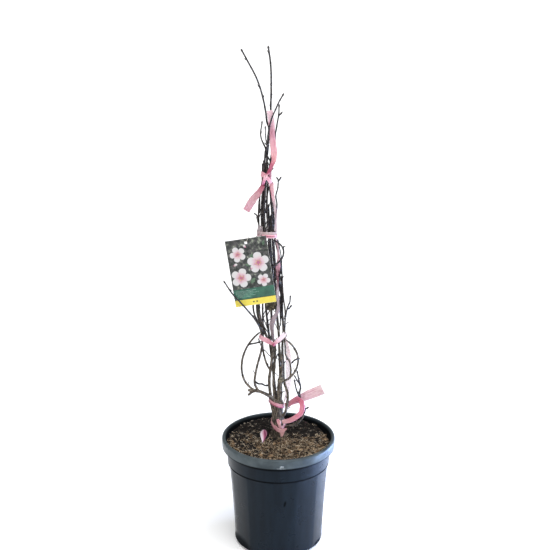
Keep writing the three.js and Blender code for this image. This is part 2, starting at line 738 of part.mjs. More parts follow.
// A strip of tape along a curve. `widths` and `facings` are spread evenly along it: how wide it
// shows and which way its width runs.
function tapeStrip({ path, widths, facings, thickness = TAPE_THICKNESS, step = 14 }) {
  const curve = new THREE.CatmullRomCurve3(path.map(vec), false, "centripetal");
  const count = Math.max(2, Math.round(curve.getLength() / step));
  const between = (list, u, mix) => {
    const place = u * (list.length - 1);
    const low = Math.min(Math.floor(place), list.length - 2);
    return mix(list[low], list[low + 1], place - low);
  };
  const rings = stations(curve, 0, 1, count).map(({ u, point, along }) => {
    const half = between(widths, u, THREE.MathUtils.lerp) / 2;
    const wide = between(facings.map(vec), u, (a, b, t) => a.clone().lerp(b, t));
    wide.addScaledVector(along, -wide.dot(along)).normalize();
    const through = along.clone().cross(wide).multiplyScalar(thickness / 2);
    const corner = (side, face) =>
      point.clone().addScaledVector(wide, side * half).addScaledVector(through, face);
    return [corner(1, -1), corner(1, 1), corner(-1, 1), corner(-1, -1)];
  });
  return loft(rings);
}

const UPRIGHT = [0, 0, 1];
const SIDEWAYS = [1, 0, 0];

function tapes() {
  const even = (value) => () => value;
  const made = {};

  made.tie_top = tapeRing({
    x: -27.5, y: 1, across: 13.6, deep: 11.6, width: even(29), folds: 1.6,
    height: (angle) => 944 + 2.5 * Math.cos(angle),
  });
  made.tie_upper = tapeRing({
    x: -27.8, y: -0.5, across: 22.4, deep: 13.6, width: even(17), folds: 1.4, count: 32,
    height: (angle) => 806 - 1.5 * Math.cos(angle),
  });
  // Two straight lengths that meet in a low knot in the middle of the front, and a slack back.
  made.tie_middle = tapeRing({
    x: -11.7, y: 0, across: 32.9, deep: 16.5, folds: 0.9, count: 36,
    height: (angle) =>
      530.5 + 25.5 * Math.abs(Math.cos(angle)) + 2 * Math.cos(angle) - 12.5 * Math.max(0, Math.sin(angle)),
    width: (angle) => 12.5 - 6.5 * Math.max(0, Math.sin(angle)),
  });
  made.tie_lower = tapeRing({
    x: -5, y: 4, across: 18.4, deep: 16.2, width: even(12), folds: 1,
    height: (angle) => 370.5 - 8.5 * Math.cos(angle),
  });
  made.wrap_foot = tapeRing({
    x: -0.5, y: 8, across: 16.8, deep: 16.2, width: even(12), folds: 1,
    height: (angle) => 318.5 - 2.5 * Math.cos(angle) - 15.5 * Math.max(0, -Math.sin(angle)) ** 2,
  });

  made.strip_top = tapeStrip({
    path: [[-18, -8.6, 960.4], [-13.5, -10.4, 990], [-14, -11.2, 1035], [-16, -11.5, 1070],
      [-20.5, -12, 1103]],
    widths: [9, 13, 14, 14, 14],
    facings: [SIDEWAYS, SIDEWAYS],
  });
  made.tail_top = tapeStrip({
    path: [[-35.5, -9.2, 926.8], [-45, -14, 912], [-60, -17, 893], [-75.5, -16, 867]],
    widths: [8, 16, 18, 17],
    facings: [[1, 0, 0.3], [0.8, 0, 0.7], [0.8, 0, 0.6]],
  });
  made.run_upper = tapeStrip({
    path: [[-17, -7.6, 931], [-13.4, -9.5, 902], [-8.5, -9.5, 872], [-6.5, -9.5, 850],
      [-7.2, -9.4, 815.3]],
    widths: [11, 7, 8, 8, 9],
    facings: [SIDEWAYS, SIDEWAYS],
  });
  made.run_middle = tapeStrip({
    path: [[-6, -10.8, 796.4], [-1, -11, 770], [0, -11, 757], [-2.5, -12, 697], [-2, -12, 660],
      [-1.7, -12, 617], [-10.8, -13, 599], [-15.8, -14, 582], [-14, -16, 560], [-12, -16.8, 540.5]],
    widths: [12, 11, 8, 10, 13, 13, 13, 10, 6, 5],
    facings: [SIDEWAYS, SIDEWAYS],
  });
  made.run_lower = tapeStrip({
    path: [[16.8, 8.3, 539.5], [23, 11, 500], [25, 11, 440], [22, 10.5, 400], [14.4, 9.8, 369.6]],
    widths: [6, 14, 15, 14, 4],
    facings: [[1, -0.5, 0], [1, 0.3, 0]],
  });
  made.tail_lower = tapeStrip({
    path: [[15.6, 9, 361.5], [22, 9.5, 362.5], [42, 10.5, 372], [72, 9, 387], [109, 6, 404.5]],
    widths: [9, 19, 25, 26],
    facings: [UPRIGHT, [-0.15, 0.1, 1]],
  });
  made.loop_lower = tapeStrip({
    path: [[16, 1, 361], [21, 1, 362], [33, -2, 374], [46, -8, 384], [56, -18, 381], [58, -20, 367],
      [54, -22, 353], [43, -23, 343], [29, -21, 334], [9.5, -15.8, 325.5]],
    widths: [11, 13, 13, 13, 12],
    facings: [UPRIGHT, UPRIGHT, [0.3, 0, 1], [1, 0, 0.2], [1, 0, -0.3], [0.5, 0, -1], [0, 0, -1],
      [0, 0, -1]],
    step: 7,
  });
  made.knot_foot = spindle(new THREE.Vector3(3.5, -12.9, 309), new THREE.Vector3(2, -13.6, 331), 5.2, 8);
  made.end_foot = tapeStrip({
    path: [[9, -7.7, 296.7], [8.5, -10.5, 292], [7, -13.5, 285.5]],
    widths: [9, 9, 4],
    facings: [[1, 0.3, 0], SIDEWAYS],
    step: 7,
  });
  return made;
}

function labelFrame() {
  const turn = new THREE.Euler(-LABEL.lean, 0, 0);
  return new THREE.Matrix4()
    .makeTranslation(...LABEL.centre)
    .multiply(new THREE.Matrix4().makeRotationFromEuler(turn))
    .multiply(new THREE.Matrix4().makeRotationY(-LABEL.roll));
}

// A flat card with rounded corners and a punched hole near its head.
function labelCard() {
  const [w, h, corner] = [LABEL.width / 2, LABEL.height / 2, 2.5];
  const outline = new THREE.Shape();
  outline.moveTo(-w + corner, -h);
  outline.lineTo(w - corner, -h).quadraticCurveTo(w, -h, w, -h + corner);
  outline.lineTo(w, h - corner).quadraticCurveTo(w, h, w - corner, h);
  outline.lineTo(-w + corner, h).quadraticCurveTo(-w, h, -w, h - corner);
  outline.lineTo(-w, -h + corner).quadraticCurveTo(-w, -h, -w + corner, -h);
  const { across, up, radius } = LABEL.hole;
  outline.holes.push(new THREE.Path().absarc(across, up, radius, 0, 2 * Math.PI, true));
  return new THREE.ExtrudeGeometry(outline, {
    depth: LABEL.thickness,
    bevelEnabled: false,
    curveSegments: 3,
  })
    .rotateX(Math.PI / 2)
    .translate(0, LABEL.thickness / 2, 0);
}

// The tie thread: up the face from the hole, over the card's head and behind it to the upper tie.
function labelThread() {
  const { across, up } = LABEL.hole;
  const head = LABEL.height / 2;
  const frame = labelFrame();
  const onCard = (x, y, z) => new THREE.Vector3(x, y, z).applyMatrix4(frame);
  const points = [
    onCard(across, 2.4, up),
    onCard(across, -1.4, up + 0.6),
    onCard(across + 4, -1.7, up + 6),
    onCard(across + 6.5, -1.5, head + 0.8),
    onCard(across + 7.5, 0, head + 1.9),
    onCard(across + 8.5, 1.6, head + 0.8),
    onCard(across + 10, 3.4, head - 5),
    new THREE.Vector3(-51.6, -6.8, 800),
  ];
  const curve = new THREE.CatmullRomCurve3(points, false, "centripetal");
  return tube(curve, () => 0.6, { sides: 5, step: 2.6 });
}

// A cupped blade: the fallen petal, or the dead leaf caught behind the label.
function blade({ length, width, thickness, cup, curl }) {
  const count = 7;
  const rings = [];
  for (let i = 0; i <= count; i++) {
    const u = i / count;
    const half = (width / 2) * (0.14 + 0.86 * Math.sin(Math.PI * (0.04 + 0.92 * u)) ** 0.8);
    const rise = curl * (u - 0.5) ** 2;
    const at = (side, up) => new THREE.Vector3(side * half, (u - 0.5) * length, up + rise);
    const lift = cup * (half / (width / 2));
    rings.push([
      at(-1, lift), at(-0.5, lift * 0.3), at(0, 0), at(0.5, lift * 0.3), at(1, lift),
      at(0.96, lift + thickness), at(0.5, lift * 0.3 + thickness), at(0, thickness),
      at(-0.5, lift * 0.3 + thickness), at(-0.96, lift + thickness),
    ].reverse());
  }
  return loft(rings);
}

// ---------------------------------------------------------------- the whole plant

const tree = new THREE.Group();
tree.name = "potted_magnolia";

function put(parent, name, geometry, colour, roughness) {
  const material = new THREE.MeshStandardMaterial({ color: colour, roughness, metalness: 0 });
  const mesh = new THREE.Mesh(geometry, material);
  mesh.name = name;
  parent.add(mesh);
  return mesh;
}

const container = new THREE.Group();
put(container, "pot", pot(), COLOUR.pot, 0.5);
put(container, "root_ball", rootBall(), COLOUR.mulch, 0.95);
const petal = blade({ length: 60, width: 17, thickness: 0.9, cup: 3.2, curl: 0.004 });
const petalMesh = put(container, "petal", petal, COLOUR.petal, 0.5);
petalMesh.position.set(-35.5, -4, SOIL.crownLevel + 4.1);
petalMesh.rotation.set(THREE.MathUtils.degToRad(7), 0, THREE.MathUtils.degToRad(-3));
tree.add(container);

const wood = new THREE.Group();
const pieces = new Map([["trunk", [trunk()]]]);
layOutLimbs(pieces);
for (const mass of MASSES) growTwigs(mass, pieces);
for (const [name, parts] of pieces) {
  const fine = name.startsWith("twigs_");
  put(wood, name, fuse(parts), fine ? COLOUR.twig : COLOUR.bark, 0.85);
}
tree.add(wood);

const bindings = new THREE.Group();
for (const [name, geometry] of Object.entries(tapes())) {
  put(bindings, name, geometry, COLOUR.tape, 0.4);
}
const card = put(bindings, "label_card", labelCard(), COLOUR.label, 0.35);
card.applyMatrix4(labelFrame());
put(bindings, "label_thread", labelThread(), COLOUR.thread, 0.7);
const leaf = blade({ length: 46, width: 26, thickness: 0.8, cup: 2, curl: 0.004 });
const leafMesh = put(bindings, "dead_leaf", leaf, COLOUR.leaf, 0.9);
leafMesh.rotation.set(Math.PI / 2, 0, 0);
leafMesh.position.set(-19, -8.2, 636);
tree.add(bindings);

export default tree;
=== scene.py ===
# The looks of a young bare magnolia in a nursery pot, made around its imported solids.
# Tables and shapes are in millimetres, in the solids' own frame, and each piece turns to metres as
# it is finished. Only the camera, light and floor are given in metres. -Y is the front, the side
# the label faces, and +X is on the right from there.
import math
from bisect import bisect_right
from collections import namedtuple

import bmesh
import bpy
from mathutils import Euler, Matrix, Vector, noise


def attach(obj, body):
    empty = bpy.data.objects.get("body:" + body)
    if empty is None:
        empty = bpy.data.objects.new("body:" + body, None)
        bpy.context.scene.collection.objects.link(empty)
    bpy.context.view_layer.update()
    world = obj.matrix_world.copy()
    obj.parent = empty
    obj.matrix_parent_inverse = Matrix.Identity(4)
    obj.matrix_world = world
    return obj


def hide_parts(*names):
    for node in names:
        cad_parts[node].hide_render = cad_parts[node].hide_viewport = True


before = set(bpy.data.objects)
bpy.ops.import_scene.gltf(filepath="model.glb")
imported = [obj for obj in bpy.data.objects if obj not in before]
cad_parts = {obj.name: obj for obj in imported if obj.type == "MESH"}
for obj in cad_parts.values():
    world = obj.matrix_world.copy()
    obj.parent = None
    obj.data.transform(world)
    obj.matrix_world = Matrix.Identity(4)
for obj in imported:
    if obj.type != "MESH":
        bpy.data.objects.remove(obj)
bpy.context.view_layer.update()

MM = 0.001
FULL_TURN = 2 * math.pi
CLEARANCE = 0.3  # between neighbouring solids
LAID_BACK = Matrix.Rotation(math.pi / 2, 4, "X")

# ---------------------------------------------------------------- camera, light and floor

CAMERA = {"place": (-0.0084, -3.0, 1.74), "down": 19.06, "lens": 87.38}

# Soft studio light. The lamps aim at the plant, and the low ones at its lower part.
LAMPS = {
    "window_right": {"place": (2.1, -1.3, 1.0), "size": (0.35, 1.6), "watts": 13, "colour": "#e4eeff"},
    "front_left": {"place": (-1.9, -2.6, 2.4), "size": (1.6, 1.6), "watts": 4, "colour": "#fff8f0"},
    "low_right": {"place": (0.62, 0.33, 0.1), "size": (0.22, 0.2), "watts": 2.0, "colour": "#8fb2f6"},
    "low_strip": {"place": (0.8, 0.06, 0.11), "size": (0.68, 0.16), "watts": 21, "colour": "#a6c0f0"},
}
SUNS = {
    "overhead_soft": {"down": 70, "from_right": 35, "strength": 2.9, "spread": 60},
    "front_soft": {"down": 35, "from_right": -20, "strength": 0.5, "spread": 80},
}
SKY = {"colour": "#f4f7fb", "strength": 0.24}
AIM = (0, 0, 0.5)
FLOOR = {"reach": 40.0, "below": 0.0002}


def linear(hex_code):
    """An sRGB hex colour as the linear one that a shader or a lamp takes."""
    shares = [int(hex_code[i:i + 2], 16) / 255 for i in (1, 3, 5)]
    return [*(s / 12.92 if s <= 0.04045 else ((s + 0.055) / 1.055) ** 2.4 for s in shares), 1]


def set_camera():
    data = bpy.data.cameras.new("camera")
    data.lens = CAMERA["lens"]
    data.clip_end = 100
    camera = bpy.data.objects.new("camera", data)
    camera.location = CAMERA["place"]
    camera.rotation_euler = (math.radians(90 - CAMERA["down"]), 0, 0)
    bpy.context.scene.collection.objects.link(camera)
    bpy.context.scene.camera = camera


def new_light(name, kind, energy):
    data = bpy.data.lights.new(name, kind)
    data.energy = energy
    light = bpy.data.objects.new(name, data)
    bpy.context.scene.collection.objects.link(light)
    return light


def set_lights():
    for name, lamp in LAMPS.items():
        light = new_light(name, "AREA", lamp["watts"])
        light.data.shape = "RECTANGLE"
        light.data.size, light.data.size_y = lamp["size"]
        light.data.color = linear(lamp["colour"])[:3]
        light.location = lamp["place"]
        aim = Vector((*AIM[:2], min(AIM[2], 1.5 * light.location.z)))
        light.rotation_euler = (aim - light.location).to_track_quat("-Z", "Y").to_euler()
        light.visible_camera = False
    for name, sun in SUNS.items():
        light = new_light(name, "SUN", sun["strength"])
        light.data.angle = math.radians(sun["spread"])
        tilt = math.radians(90 - sun["down"])
        light.rotation_euler = (tilt, 0, math.radians(sun["from_right"]))
    world = bpy.data.worlds.new("studio")
    world.use_nodes = True
    backdrop = world.node_tree.nodes["Background"]
    backdrop.inputs["Color"].default_value = linear(SKY["colour"])
    backdrop.inputs["Strength"].default_value = SKY["strength"]
    bpy.context.scene.world = world
    bpy.context.scene.view_settings.view_transform = "Standard"


# ---------------------------------------------------------------- materials

COLOURS = {"output": 2, "data_type": "RGBA"}  # for a Mix node that mixes colours


class Look:
    """A material in the making, whose shader starts with some constants."""

    def __init__(self, name, constants):
        self.made = bpy.data.materials.new(name)
        self.made.use_nodes = True
        self.tree = self.made.node_tree
        self.shader = self.tree.nodes["Principled BSDF"]
        self.feed(self.shader, constants)
        self.place = self.add("TexCoord", {}, output="Object")

    def feed(self, node, inputs):
        """Sets a node's inputs to values, or links them to sockets."""
        for socket, value in inputs.items():
            if isinstance(value, bpy.types.NodeSocket):
                self.tree.links.new(value, node.inputs[socket])
            elif isinstance(value, str):
                node.inputs[socket].default_value = linear(value)
            else:
                node.inputs[socket].default_value = value

    def add(self, kind, inputs, stops=(), output=0, **settings):
        """Adds a node with its settings and links, and gives the output that the next node reads."""
        node = self.tree.nodes.new("ShaderNode" + kind)
        for name, value in settings.items():
            setattr(node, name, value)
        for number, (place, shade) in enumerate(stops):
            row = node.color_ramp.elements
            stop = row[number] if number < 2 else row.new(place)
            stop.position = place
            stop.color = linear(shade)
        self.feed(node, inputs)
        return node.outputs[output]

    def pored(self, colour, at, grain, edge, strength, shade):
        """A colour with pores of another shade, one in the middle of each cell of that grain."""
        pits = self.add("TexVoronoi", {"Vector": at, "Scale": per_mm(grain)}, output="Distance")
        pores = self.add("MapRange", {"Value": pits, "From Min": 0.2, "From Max": edge,
                                      "To Max": strength})
        return self.add("Mix", {0: pores, 6: colour, 7: shade}, **COLOURS)

    def blot(self, centre, reach, tilt=(0, 0, 0)):
        """A soft mask for one mark: one inside an ellipsoid, and nought outside it."""
        local = self.add("Mapping", {
            "Vector": self.place,
            "Location": [x * MM for x in centre],
            "Rotation": [math.radians(x) for x in tilt],
            "Scale": [x * MM for x in reach],
        }, vector_type="TEXTURE")
        away = self.add("VectorMath", {0: local}, output="Value", operation="LENGTH")
        return self.add("MapRange", {"Value": away, "From Min": 1.0, "From Max": 0.55})

    def done(self, colour, height=None, strength=0.0, depth=0.0, **others):
        """Ends the material: its colour, and a relief with its height, strength and depth in mm."""
        self.feed(self.shader, {"Base Color": colour, **others})
        if height is not None:
            relief = {"Height": height, "Strength": strength, "Distance": depth * MM}
            self.feed(self.shader, {"Normal": self.add("Bump", relief)})
        return self.made


def per_mm(size):
    """The scale that gives a pattern a grain of that many millimetres."""
    return 1 / (size * MM)


def spread(shades, low=0.0, high=1.0):
    """Stops for shades that lie evenly from low to high."""
    return [(mix(low, high, i / (len(shades) - 1)), shade) for i, shade in enumerate(shades)]


def mottled(name, constants, grain, detail, stops, relief=(), rough=0.5):
    """A material of one noise: its shade and, with a strength and a depth, its relief."""
    look = Look(name, constants)
    cloud = look.add("TexNoise", {"Vector": look.place, "Scale": per_mm(grain), "Detail": detail,
                                  "Roughness": rough})
    shade = look.add("ValToRGB", {"Fac": cloud}, stops=stops)
    return look.done(shade, cloud, *relief) if relief else look.done(shade)


def studio_paper():
    """A seamless sheet of frosted plastic on a light table: nearly white, quite matt and lit a little
    from below, with a trace of mottle."""
    lit = {"Roughness": 0.9, "Emission Strength": 0.22, "Emission Color": "#ffffff"}
    return mottled("studio_paper", lit, 60, 2, [(0.3, "#f8f8f8"), (0.7, "#fcfcfc")])


# Marks on the pot. Scuffs and the patches of painted shade at the foot have a middle, a reach and a
# strength, the nick has a tilt, and each line of painted shade runs round the pot from a height to a
# height: in the step, under the rim, at the foot.
SCUFFS = (((7, -140, 262), (13, 9, 2), 0.45), ((8, -140, 267), (6, 9, 2.2), 1))
PAINTED_FOOT_SHADE = (((-92, -52, 6), (46, 60, 32), 0.8), ((96, -44, 9), (12, 40, 9), 1))
NICK = ((15.5, -118, 154), (3.6, 16, 11), (0, 14, 0))
PAINTED_SHADE_LINES = ((213.5, 219.5), (247.5, 261.8), (-12, 8))
# Radii between which the rim's dust sets in, and the radii and heights between which the pot's
# inside above the litter is painted near-black as shade.
DUST = (128.5, 133.5)
SHADE = ((131.2, 129.6), (258.5, 259.5))


def moulded_polypropylene():
    """Recycled polypropylene, injection moulded: blue-black and satin, with faint flow streaks,
    a fine tool texture, a film of dust on the rim and scuffs where pots have rubbed together;
    with painted shade in dark lines under the rim, in the step and at the foot, in dark patches at
    the foot, and inside the pot above the litter."""
    look = Look("moulded_polypropylene", {"IOR": 1.49, "Specular IOR Level": 0.22,
                                          "Specular Tint": "#b4c6de"})
    add, blot, place = look.add, look.blot, look.place
    upright = add("Mapping", {"Vector": place, "Scale": (1, 1, 0.12)})
    flow = add("TexNoise", {"Vector": upright, "Scale": per_mm(22), "Detail": 4})
    resin = add("ValToRGB", {"Fac": flow}, stops=[(0.3, "#0a0f13"), (0.7, "#121a21")])
    spot = add("VectorMath", {0: place, 1: (1, 1, 0)}, operation="MULTIPLY")
    out = add("VectorMath", {0: spot}, output="Value", operation="LENGTH")
    height = add("SeparateXYZ", {"Vector": place}, output="Z")
    outer = add("MapRange", {"Value": out, "From Min": DUST[0] * MM, "From Max": DUST[1] * MM})
    cloud = add("TexNoise", {"Vector": place, "Scale": per_mm(35), "Detail": 6})
    patchy = add("MapRange", {"Value": cloud, "From Min": 0.3, "From Max": 0.7,
                              "To Min": 0.3, "To Max": 0.68})
    dust = add("Math", {0: outer, 1: patchy}, operation="MULTIPLY")
    colour = add("Mix", {0: dust, 6: resin, 7: "#656e70"}, **COLOURS)
    scratch = add("TexNoise", {"Vector": place, "Scale": per_mm(1.2), "Detail": 4})
    broken = add("MapRange", {"Value": scratch, "From Min": 0.44, "From Max": 0.56})
    for centre, reach, strength in SCUFFS:
        torn = add("Math", {0: blot(centre, reach), 1: broken}, operation="MULTIPLY")
        worn = add("Math", {0: torn, 1: strength}, operation="MULTIPLY")
        colour = add("Mix", {0: worn, 6: colour, 7: "#d5dcdf"}, **COLOURS)
    nick_and_painted_shade = blot(*NICK)
    # Painted shade: dark patches on the foot's corner at the left and round a notch at the right.
    for centre, reach, strength in PAINTED_FOOT_SHADE:
        foot_shade = add("Math", {0: blot(centre, reach), 1: strength}, operation="MULTIPLY")
        nick_and_painted_shade = add("Math", {0: nick_and_painted_shade, 1: foot_shade}, operation="MAXIMUM")
    # Painted shade: dark lines round the pot under the rim, in the step and at the foot.
    for low, high in PAINTED_SHADE_LINES:
        half = (high - low) / 2 * MM
        away = add("Math", {0: height, 1: (low + high) / 2 * MM}, operation="SUBTRACT")
        apart = add("Math", {0: away}, operation="ABSOLUTE")
        line = add("MapRange", {"Value": apart, "From Min": half, "From Max": 0.55 * half})
        nick_and_painted_shade = add("Math", {0: nick_and_painted_shade, 1: line}, operation="MAXIMUM")
    # The nick and all the painted shade go near-black.
    colour = add("Mix", {0: nick_and_painted_shade, 6: colour, 7: "#010202"}, **COLOURS)
    # Painted shade: the pot's inside above the litter goes near-black.
    (outside, within), (below, above) = SHADE
    inside = add("MapRange", {"Value": out, "From Min": outside * MM, "From Max": within * MM})
    high_up = add("MapRange", {"Value": height, "From Min": below * MM, "From Max": above * MM})
    painted_inner_shade = add("Math", {0: inside, 1: high_up}, operation="MULTIPLY")
    colour = add("Mix", {0: painted_inner_shade, 6: colour, 7: "#050606"}, **COLOURS)
    grain = add("TexNoise", {"Vector": place, "Scale": per_mm(1.4), "Detail": 2})
    wear = add("TexNoise", {"Vector": place, "Scale": per_mm(30), "Detail": 5})
    gloss = add("MapRange", {"Value": wear, "From Min": 0.3, "From Max": 0.7,
                             "To Min": 0.26, "To Max": 0.36})
    matt = add("Math", {0: nick_and_painted_shade, 1: painted_inner_shade}, operation="MAXIMUM")
    dulled = add("Mix", {0: matt, 2: gloss, 3: 0.95})
    return look.done(colour, grain, 0.22, 0.3, Roughness=dulled)


def litter(name, shades, grain):
    """Shredded bark, wood fibre or peat: dry, matt and streaked along its fibres."""
    look = Look(name, {"Roughness": 0.95, "IOR": 1.4})
    fibres = look.add("TexNoise", {"Vector": look.place, "Scale": per_mm(grain), "Detail": 5,
                                   "Roughness": 0.7})
    patches = look.add("TexNoise", {"Vector": look.place, "Scale": per_mm(9), "Detail": 2})
    both = look.add("Math", {0: fibres, 1: patches}, operation="ADD")
    half = look.add("Math", {0: both, 1: 0.5}, operation="MULTIPLY")
    shade = look.add("ValToRGB", {"Fac": half}, stops=spread(shades, 0.36, 0.64))
    return look.done(shade, fibres, 0.5, 0.6)


def living_bark(name, wrapped, old_shades):
    """Bark of a young magnolia, thin and mostly smooth: grey-brown with fine lengthwise cracks low
    down, purple-black and tighter higher up, with pale lenticels and a green bloom of algae. A crust
    of lichen covers the knob of the cut stem."""
    look = Look(name, {"Roughness": 0.75, "IOR": 1.45})
    add, place = look.add, look.place
    grain = add("Attribute", {}, output="Vector", attribute_name="grain") if wrapped else place
    drawn = add("Mapping", {"Vector": grain, "Scale": (1, 1, 0.2)})
    cracks = add("TexNoise", {"Vector": drawn, "Scale": per_mm(2.2), "Detail": 6, "Roughness": 0.68})
    old = add("ValToRGB", {"Fac": cracks}, stops=zip((0.36, 0.5, 0.66), old_shades))
    young = add("ValToRGB", {"Fac": cracks},
                stops=[(0.4, "#080607"), (0.52, "#1f191a"), (0.64, "#6e6361")])
    height = add("SeparateXYZ", {"Vector": place}, output="Z")
    age = add("MapRange", {"Value": height, "From Min": 420 * MM, "From Max": 700 * MM})
    colour = add("Mix", {0: age, 6: old, 7: young}, **COLOURS)
    patches = add("TexNoise", {"Vector": place, "Scale": per_mm(16), "Detail": 4})
    damp = add("MapRange", {"Value": patches, "From Min": 0.55, "From Max": 0.68, "To Max": 0.4})
    colour = add("Mix", {0: damp, 6: colour, 7: "#3f4232"}, **COLOURS)
    colour = look.pored(colour, grain, 3.4, 0.12, 0.3, "#8b8178")
    knob = look.blot((6, -2, 434), (9, 10, 12))
    crust = add("TexNoise", {"Vector": place, "Scale": per_mm(4), "Detail": 5})
    flakes = add("ValToRGB", {"Fac": crust},
                 stops=[(0.5, "#3d3a2a"), (0.57, "#6b6849"), (0.66, "#b5b49f")])
    cover = add("MapRange", {"Value": crust, "From Min": 0.5, "From Max": 0.6})
    lichen = add("Math", {0: knob, 1: cover}, operation="MULTIPLY")
    colour = add("Mix", {0: lichen, 6: colour, 7: flakes}, **COLOURS)
    return look.done(colour, cracks, 0.6, 0.8)


def twig_bark():
    """Last year's shoots: tight, slightly waxy purple-brown skin with pale pores."""
    look = Look("twig_bark", {"Roughness": 0.5, "IOR": 1.45})
    add = look.add
    grain = add("Attribute", {}, output="Vector", attribute_name="grain")
    drawn = add("Mapping", {"Vector": grain, "Scale": (1, 1, 0.25)})
    streaks = add("TexNoise", {"Vector": drawn, "Scale": per_mm(1.6), "Detail": 4})
    skin = add("ValToRGB", {"Fac": streaks},
               stops=[(0.4, "#0a0808"), (0.54, "#1c1617"), (0.68, "#574c4b")])
    return look.done(look.pored(skin, grain, 2.4, 0.1, 0.35, "#756b66"), streaks, 0.35, 0.4)


def bud_scales():
    """Winter buds in felted scales: short grey hairs over dark brown, which gives a soft edge."""
    return mottled("bud_scales", {"Roughness": 0.8, "Sheen Weight": 0.25}, 1.2, 4,
                   [(0.35, "#0f0b0a"), (0.55, "#231c19"), (0.74, "#5a5047")], (0.5, 0.3))


def sawn_wood():
    """A weathered saw cut: dried tan wood with its rings, greyed by rain."""
    return mottled("sawn_wood", {"Roughness": 0.85, "IOR": 1.4}, 1.4, 4,
                   [(0.35, "#4b3d30"), (0.55, "#8a765e"), (0.7, "#b3a083")], (0.4, 0.3))


def withered_leaf():
    """Last autumn's leaf: brown, brittle and dull, in paler and darker blotches."""
    return mottled("withered_leaf", {"Roughness": 0.85, "IOR": 1.4}, 7, 5,
                   [(0.35, "#1e1a14"), (0.52, "#3f3829"), (0.7, "#6f664d")], (0.5, 1))


def tying_twine():
    """Two-ply jute twine: dry, pale and hairy."""
    return mottled("tying_twine", {"Roughness": 0.9, "IOR": 1.4}, 1, 4,
                   [(0.35, "#a59c8c"), (0.65, "#e6e0d2")])


def printed(name, shades, grain):
    """Offset ink under clear film on a plastic card: even, glossy, with a slight cloud in the ink."""
    return mottled(name, {"Roughness": 0.3, "IOR": 1.5}, grain, 5, spread(shades, 0.34, 0.66),
                   rough=0.65)


def printed_petal():
    """The same print where a blossom's petal runs from a pink base to a white edge."""
    look = Look("printed_petal", {"Roughness": 0.3, "IOR": 1.5})
    reach = look.add("Attribute", {}, output="Fac", attribute_name="bloom")
    cloud = look.add("TexNoise", {"Vector": look.place, "Scale": per_mm(5), "Detail": 4})
    lean = look.add("MapRange", {"Value": cloud, "To Min": -0.2, "To Max": 0.2})
    place_in = look.add("Math", {0: reach, 1: lean}, operation="ADD", use_clamp=True)
    return look.done(look.add("ValToRGB", {"Fac": place_in},
                              stops=[(0.12, "#a8607a"), (0.36, "#c9a9b0"), (0.62, "#c9c5c3")]))


def flagging_film(name, dyes, alpha):
    """Soft vinyl flagging tape, calendered thin: half clear, so that what lies behind tints it, and
    drawn into lengthwise creases that are deeper in colour where the film doubles up. `dyes` are
    its colours from one end to the other, where it is clean, dusty, bleached or doubled; on the
    length through the top knot they also hold painted shade and a painted highlight."""
    look = Look("flagging_" + name, {"Roughness": 0.38, "IOR": 1.53, "Alpha": alpha})
    add = look.add
    lie = add("Attribute", {}, output="Vector", attribute_name="lie")
    share = add("SeparateXYZ", {"Vector": lie}, output="Z")
    cloud = add("TexNoise", {"Vector": look.place, "Scale": per_mm(20), "Detail": 2})
    lean = add("MapRange", {"Value": cloud, "From Min": 0.3, "From Max": 0.7,
                            "To Min": -0.08, "To Max": 0.08})
    run = add("Math", {0: share, 1: lean}, operation="ADD", use_clamp=True)
    dye = add("ValToRGB", {"Fac": run}, stops=spread(dyes))
    flat = add("Mapping", {"Vector": lie, "Scale": (1, 0.12, 0)})
    creases = add("TexNoise", {"Vector": flat, "Scale": per_mm(2.6), "Detail": 4, "Roughness": 0.6})
    double = add("ValToRGB", {"Fac": creases},
                 stops=[(0.34, "#dcb3bc"), (0.47, "#f6ebed"), (0.6, "#ffffff")])
    folded = add("Mix", {0: 1.0, 6: dye, 7: double}, blend_type="MULTIPLY", **COLOURS)
    return look.done(folded, creases, 0.5, 0.5)


def waxy_petal():
    """A fallen magnolia petal: thick and waxy, white to pale pink, flushed magenta down one side."""
    look = Look("waxy_petal", {"Roughness": 0.45, "IOR": 1.42, "Subsurface Weight": 0.15})
    add = look.add
    lie = add("Attribute", {}, output="Vector", attribute_name="lie")
    across = add("SeparateXYZ", {"Vector": lie}, output="X")
    share = add("SeparateXYZ", {"Vector": lie}, output="Z")
    drawn = add("Mapping", {"Vector": lie, "Scale": (1, 0.1, 1)})
    veins = add("TexNoise", {"Vector": drawn, "Scale": per_mm(1.8), "Detail": 3})
    lean = add("MapRange", {"Value": veins, "To Min": -3.5 * MM, "To Max": 3.5 * MM})
    head = add("MapRange", {"Value": share, "To Min": -4.5 * MM, "To Max": 4 * MM})
    leaning = add("Math", {0: lean, 1: head}, operation="ADD")
    place_in = add("Math", {0: across, 1: leaning}, operation="ADD")
    flush = add("MapRange", {"Value": place_in, "From Min": -9 * MM, "From Max": 9 * MM})
    shade = add("ValToRGB", {"Fac": flush},
                stops=[(0.25, "#e9d3d8"), (0.48, "#d9a0b2"), (0.64, "#ab5475"), (0.8, "#7a2345"),
                       (0.97, "#b0708a")])
    return look.done(shade, veins, 0.4, 0.4)


# ---------------------------------------------------------------- courses and frames

Station = namedtuple("Station", "share point along across deep")


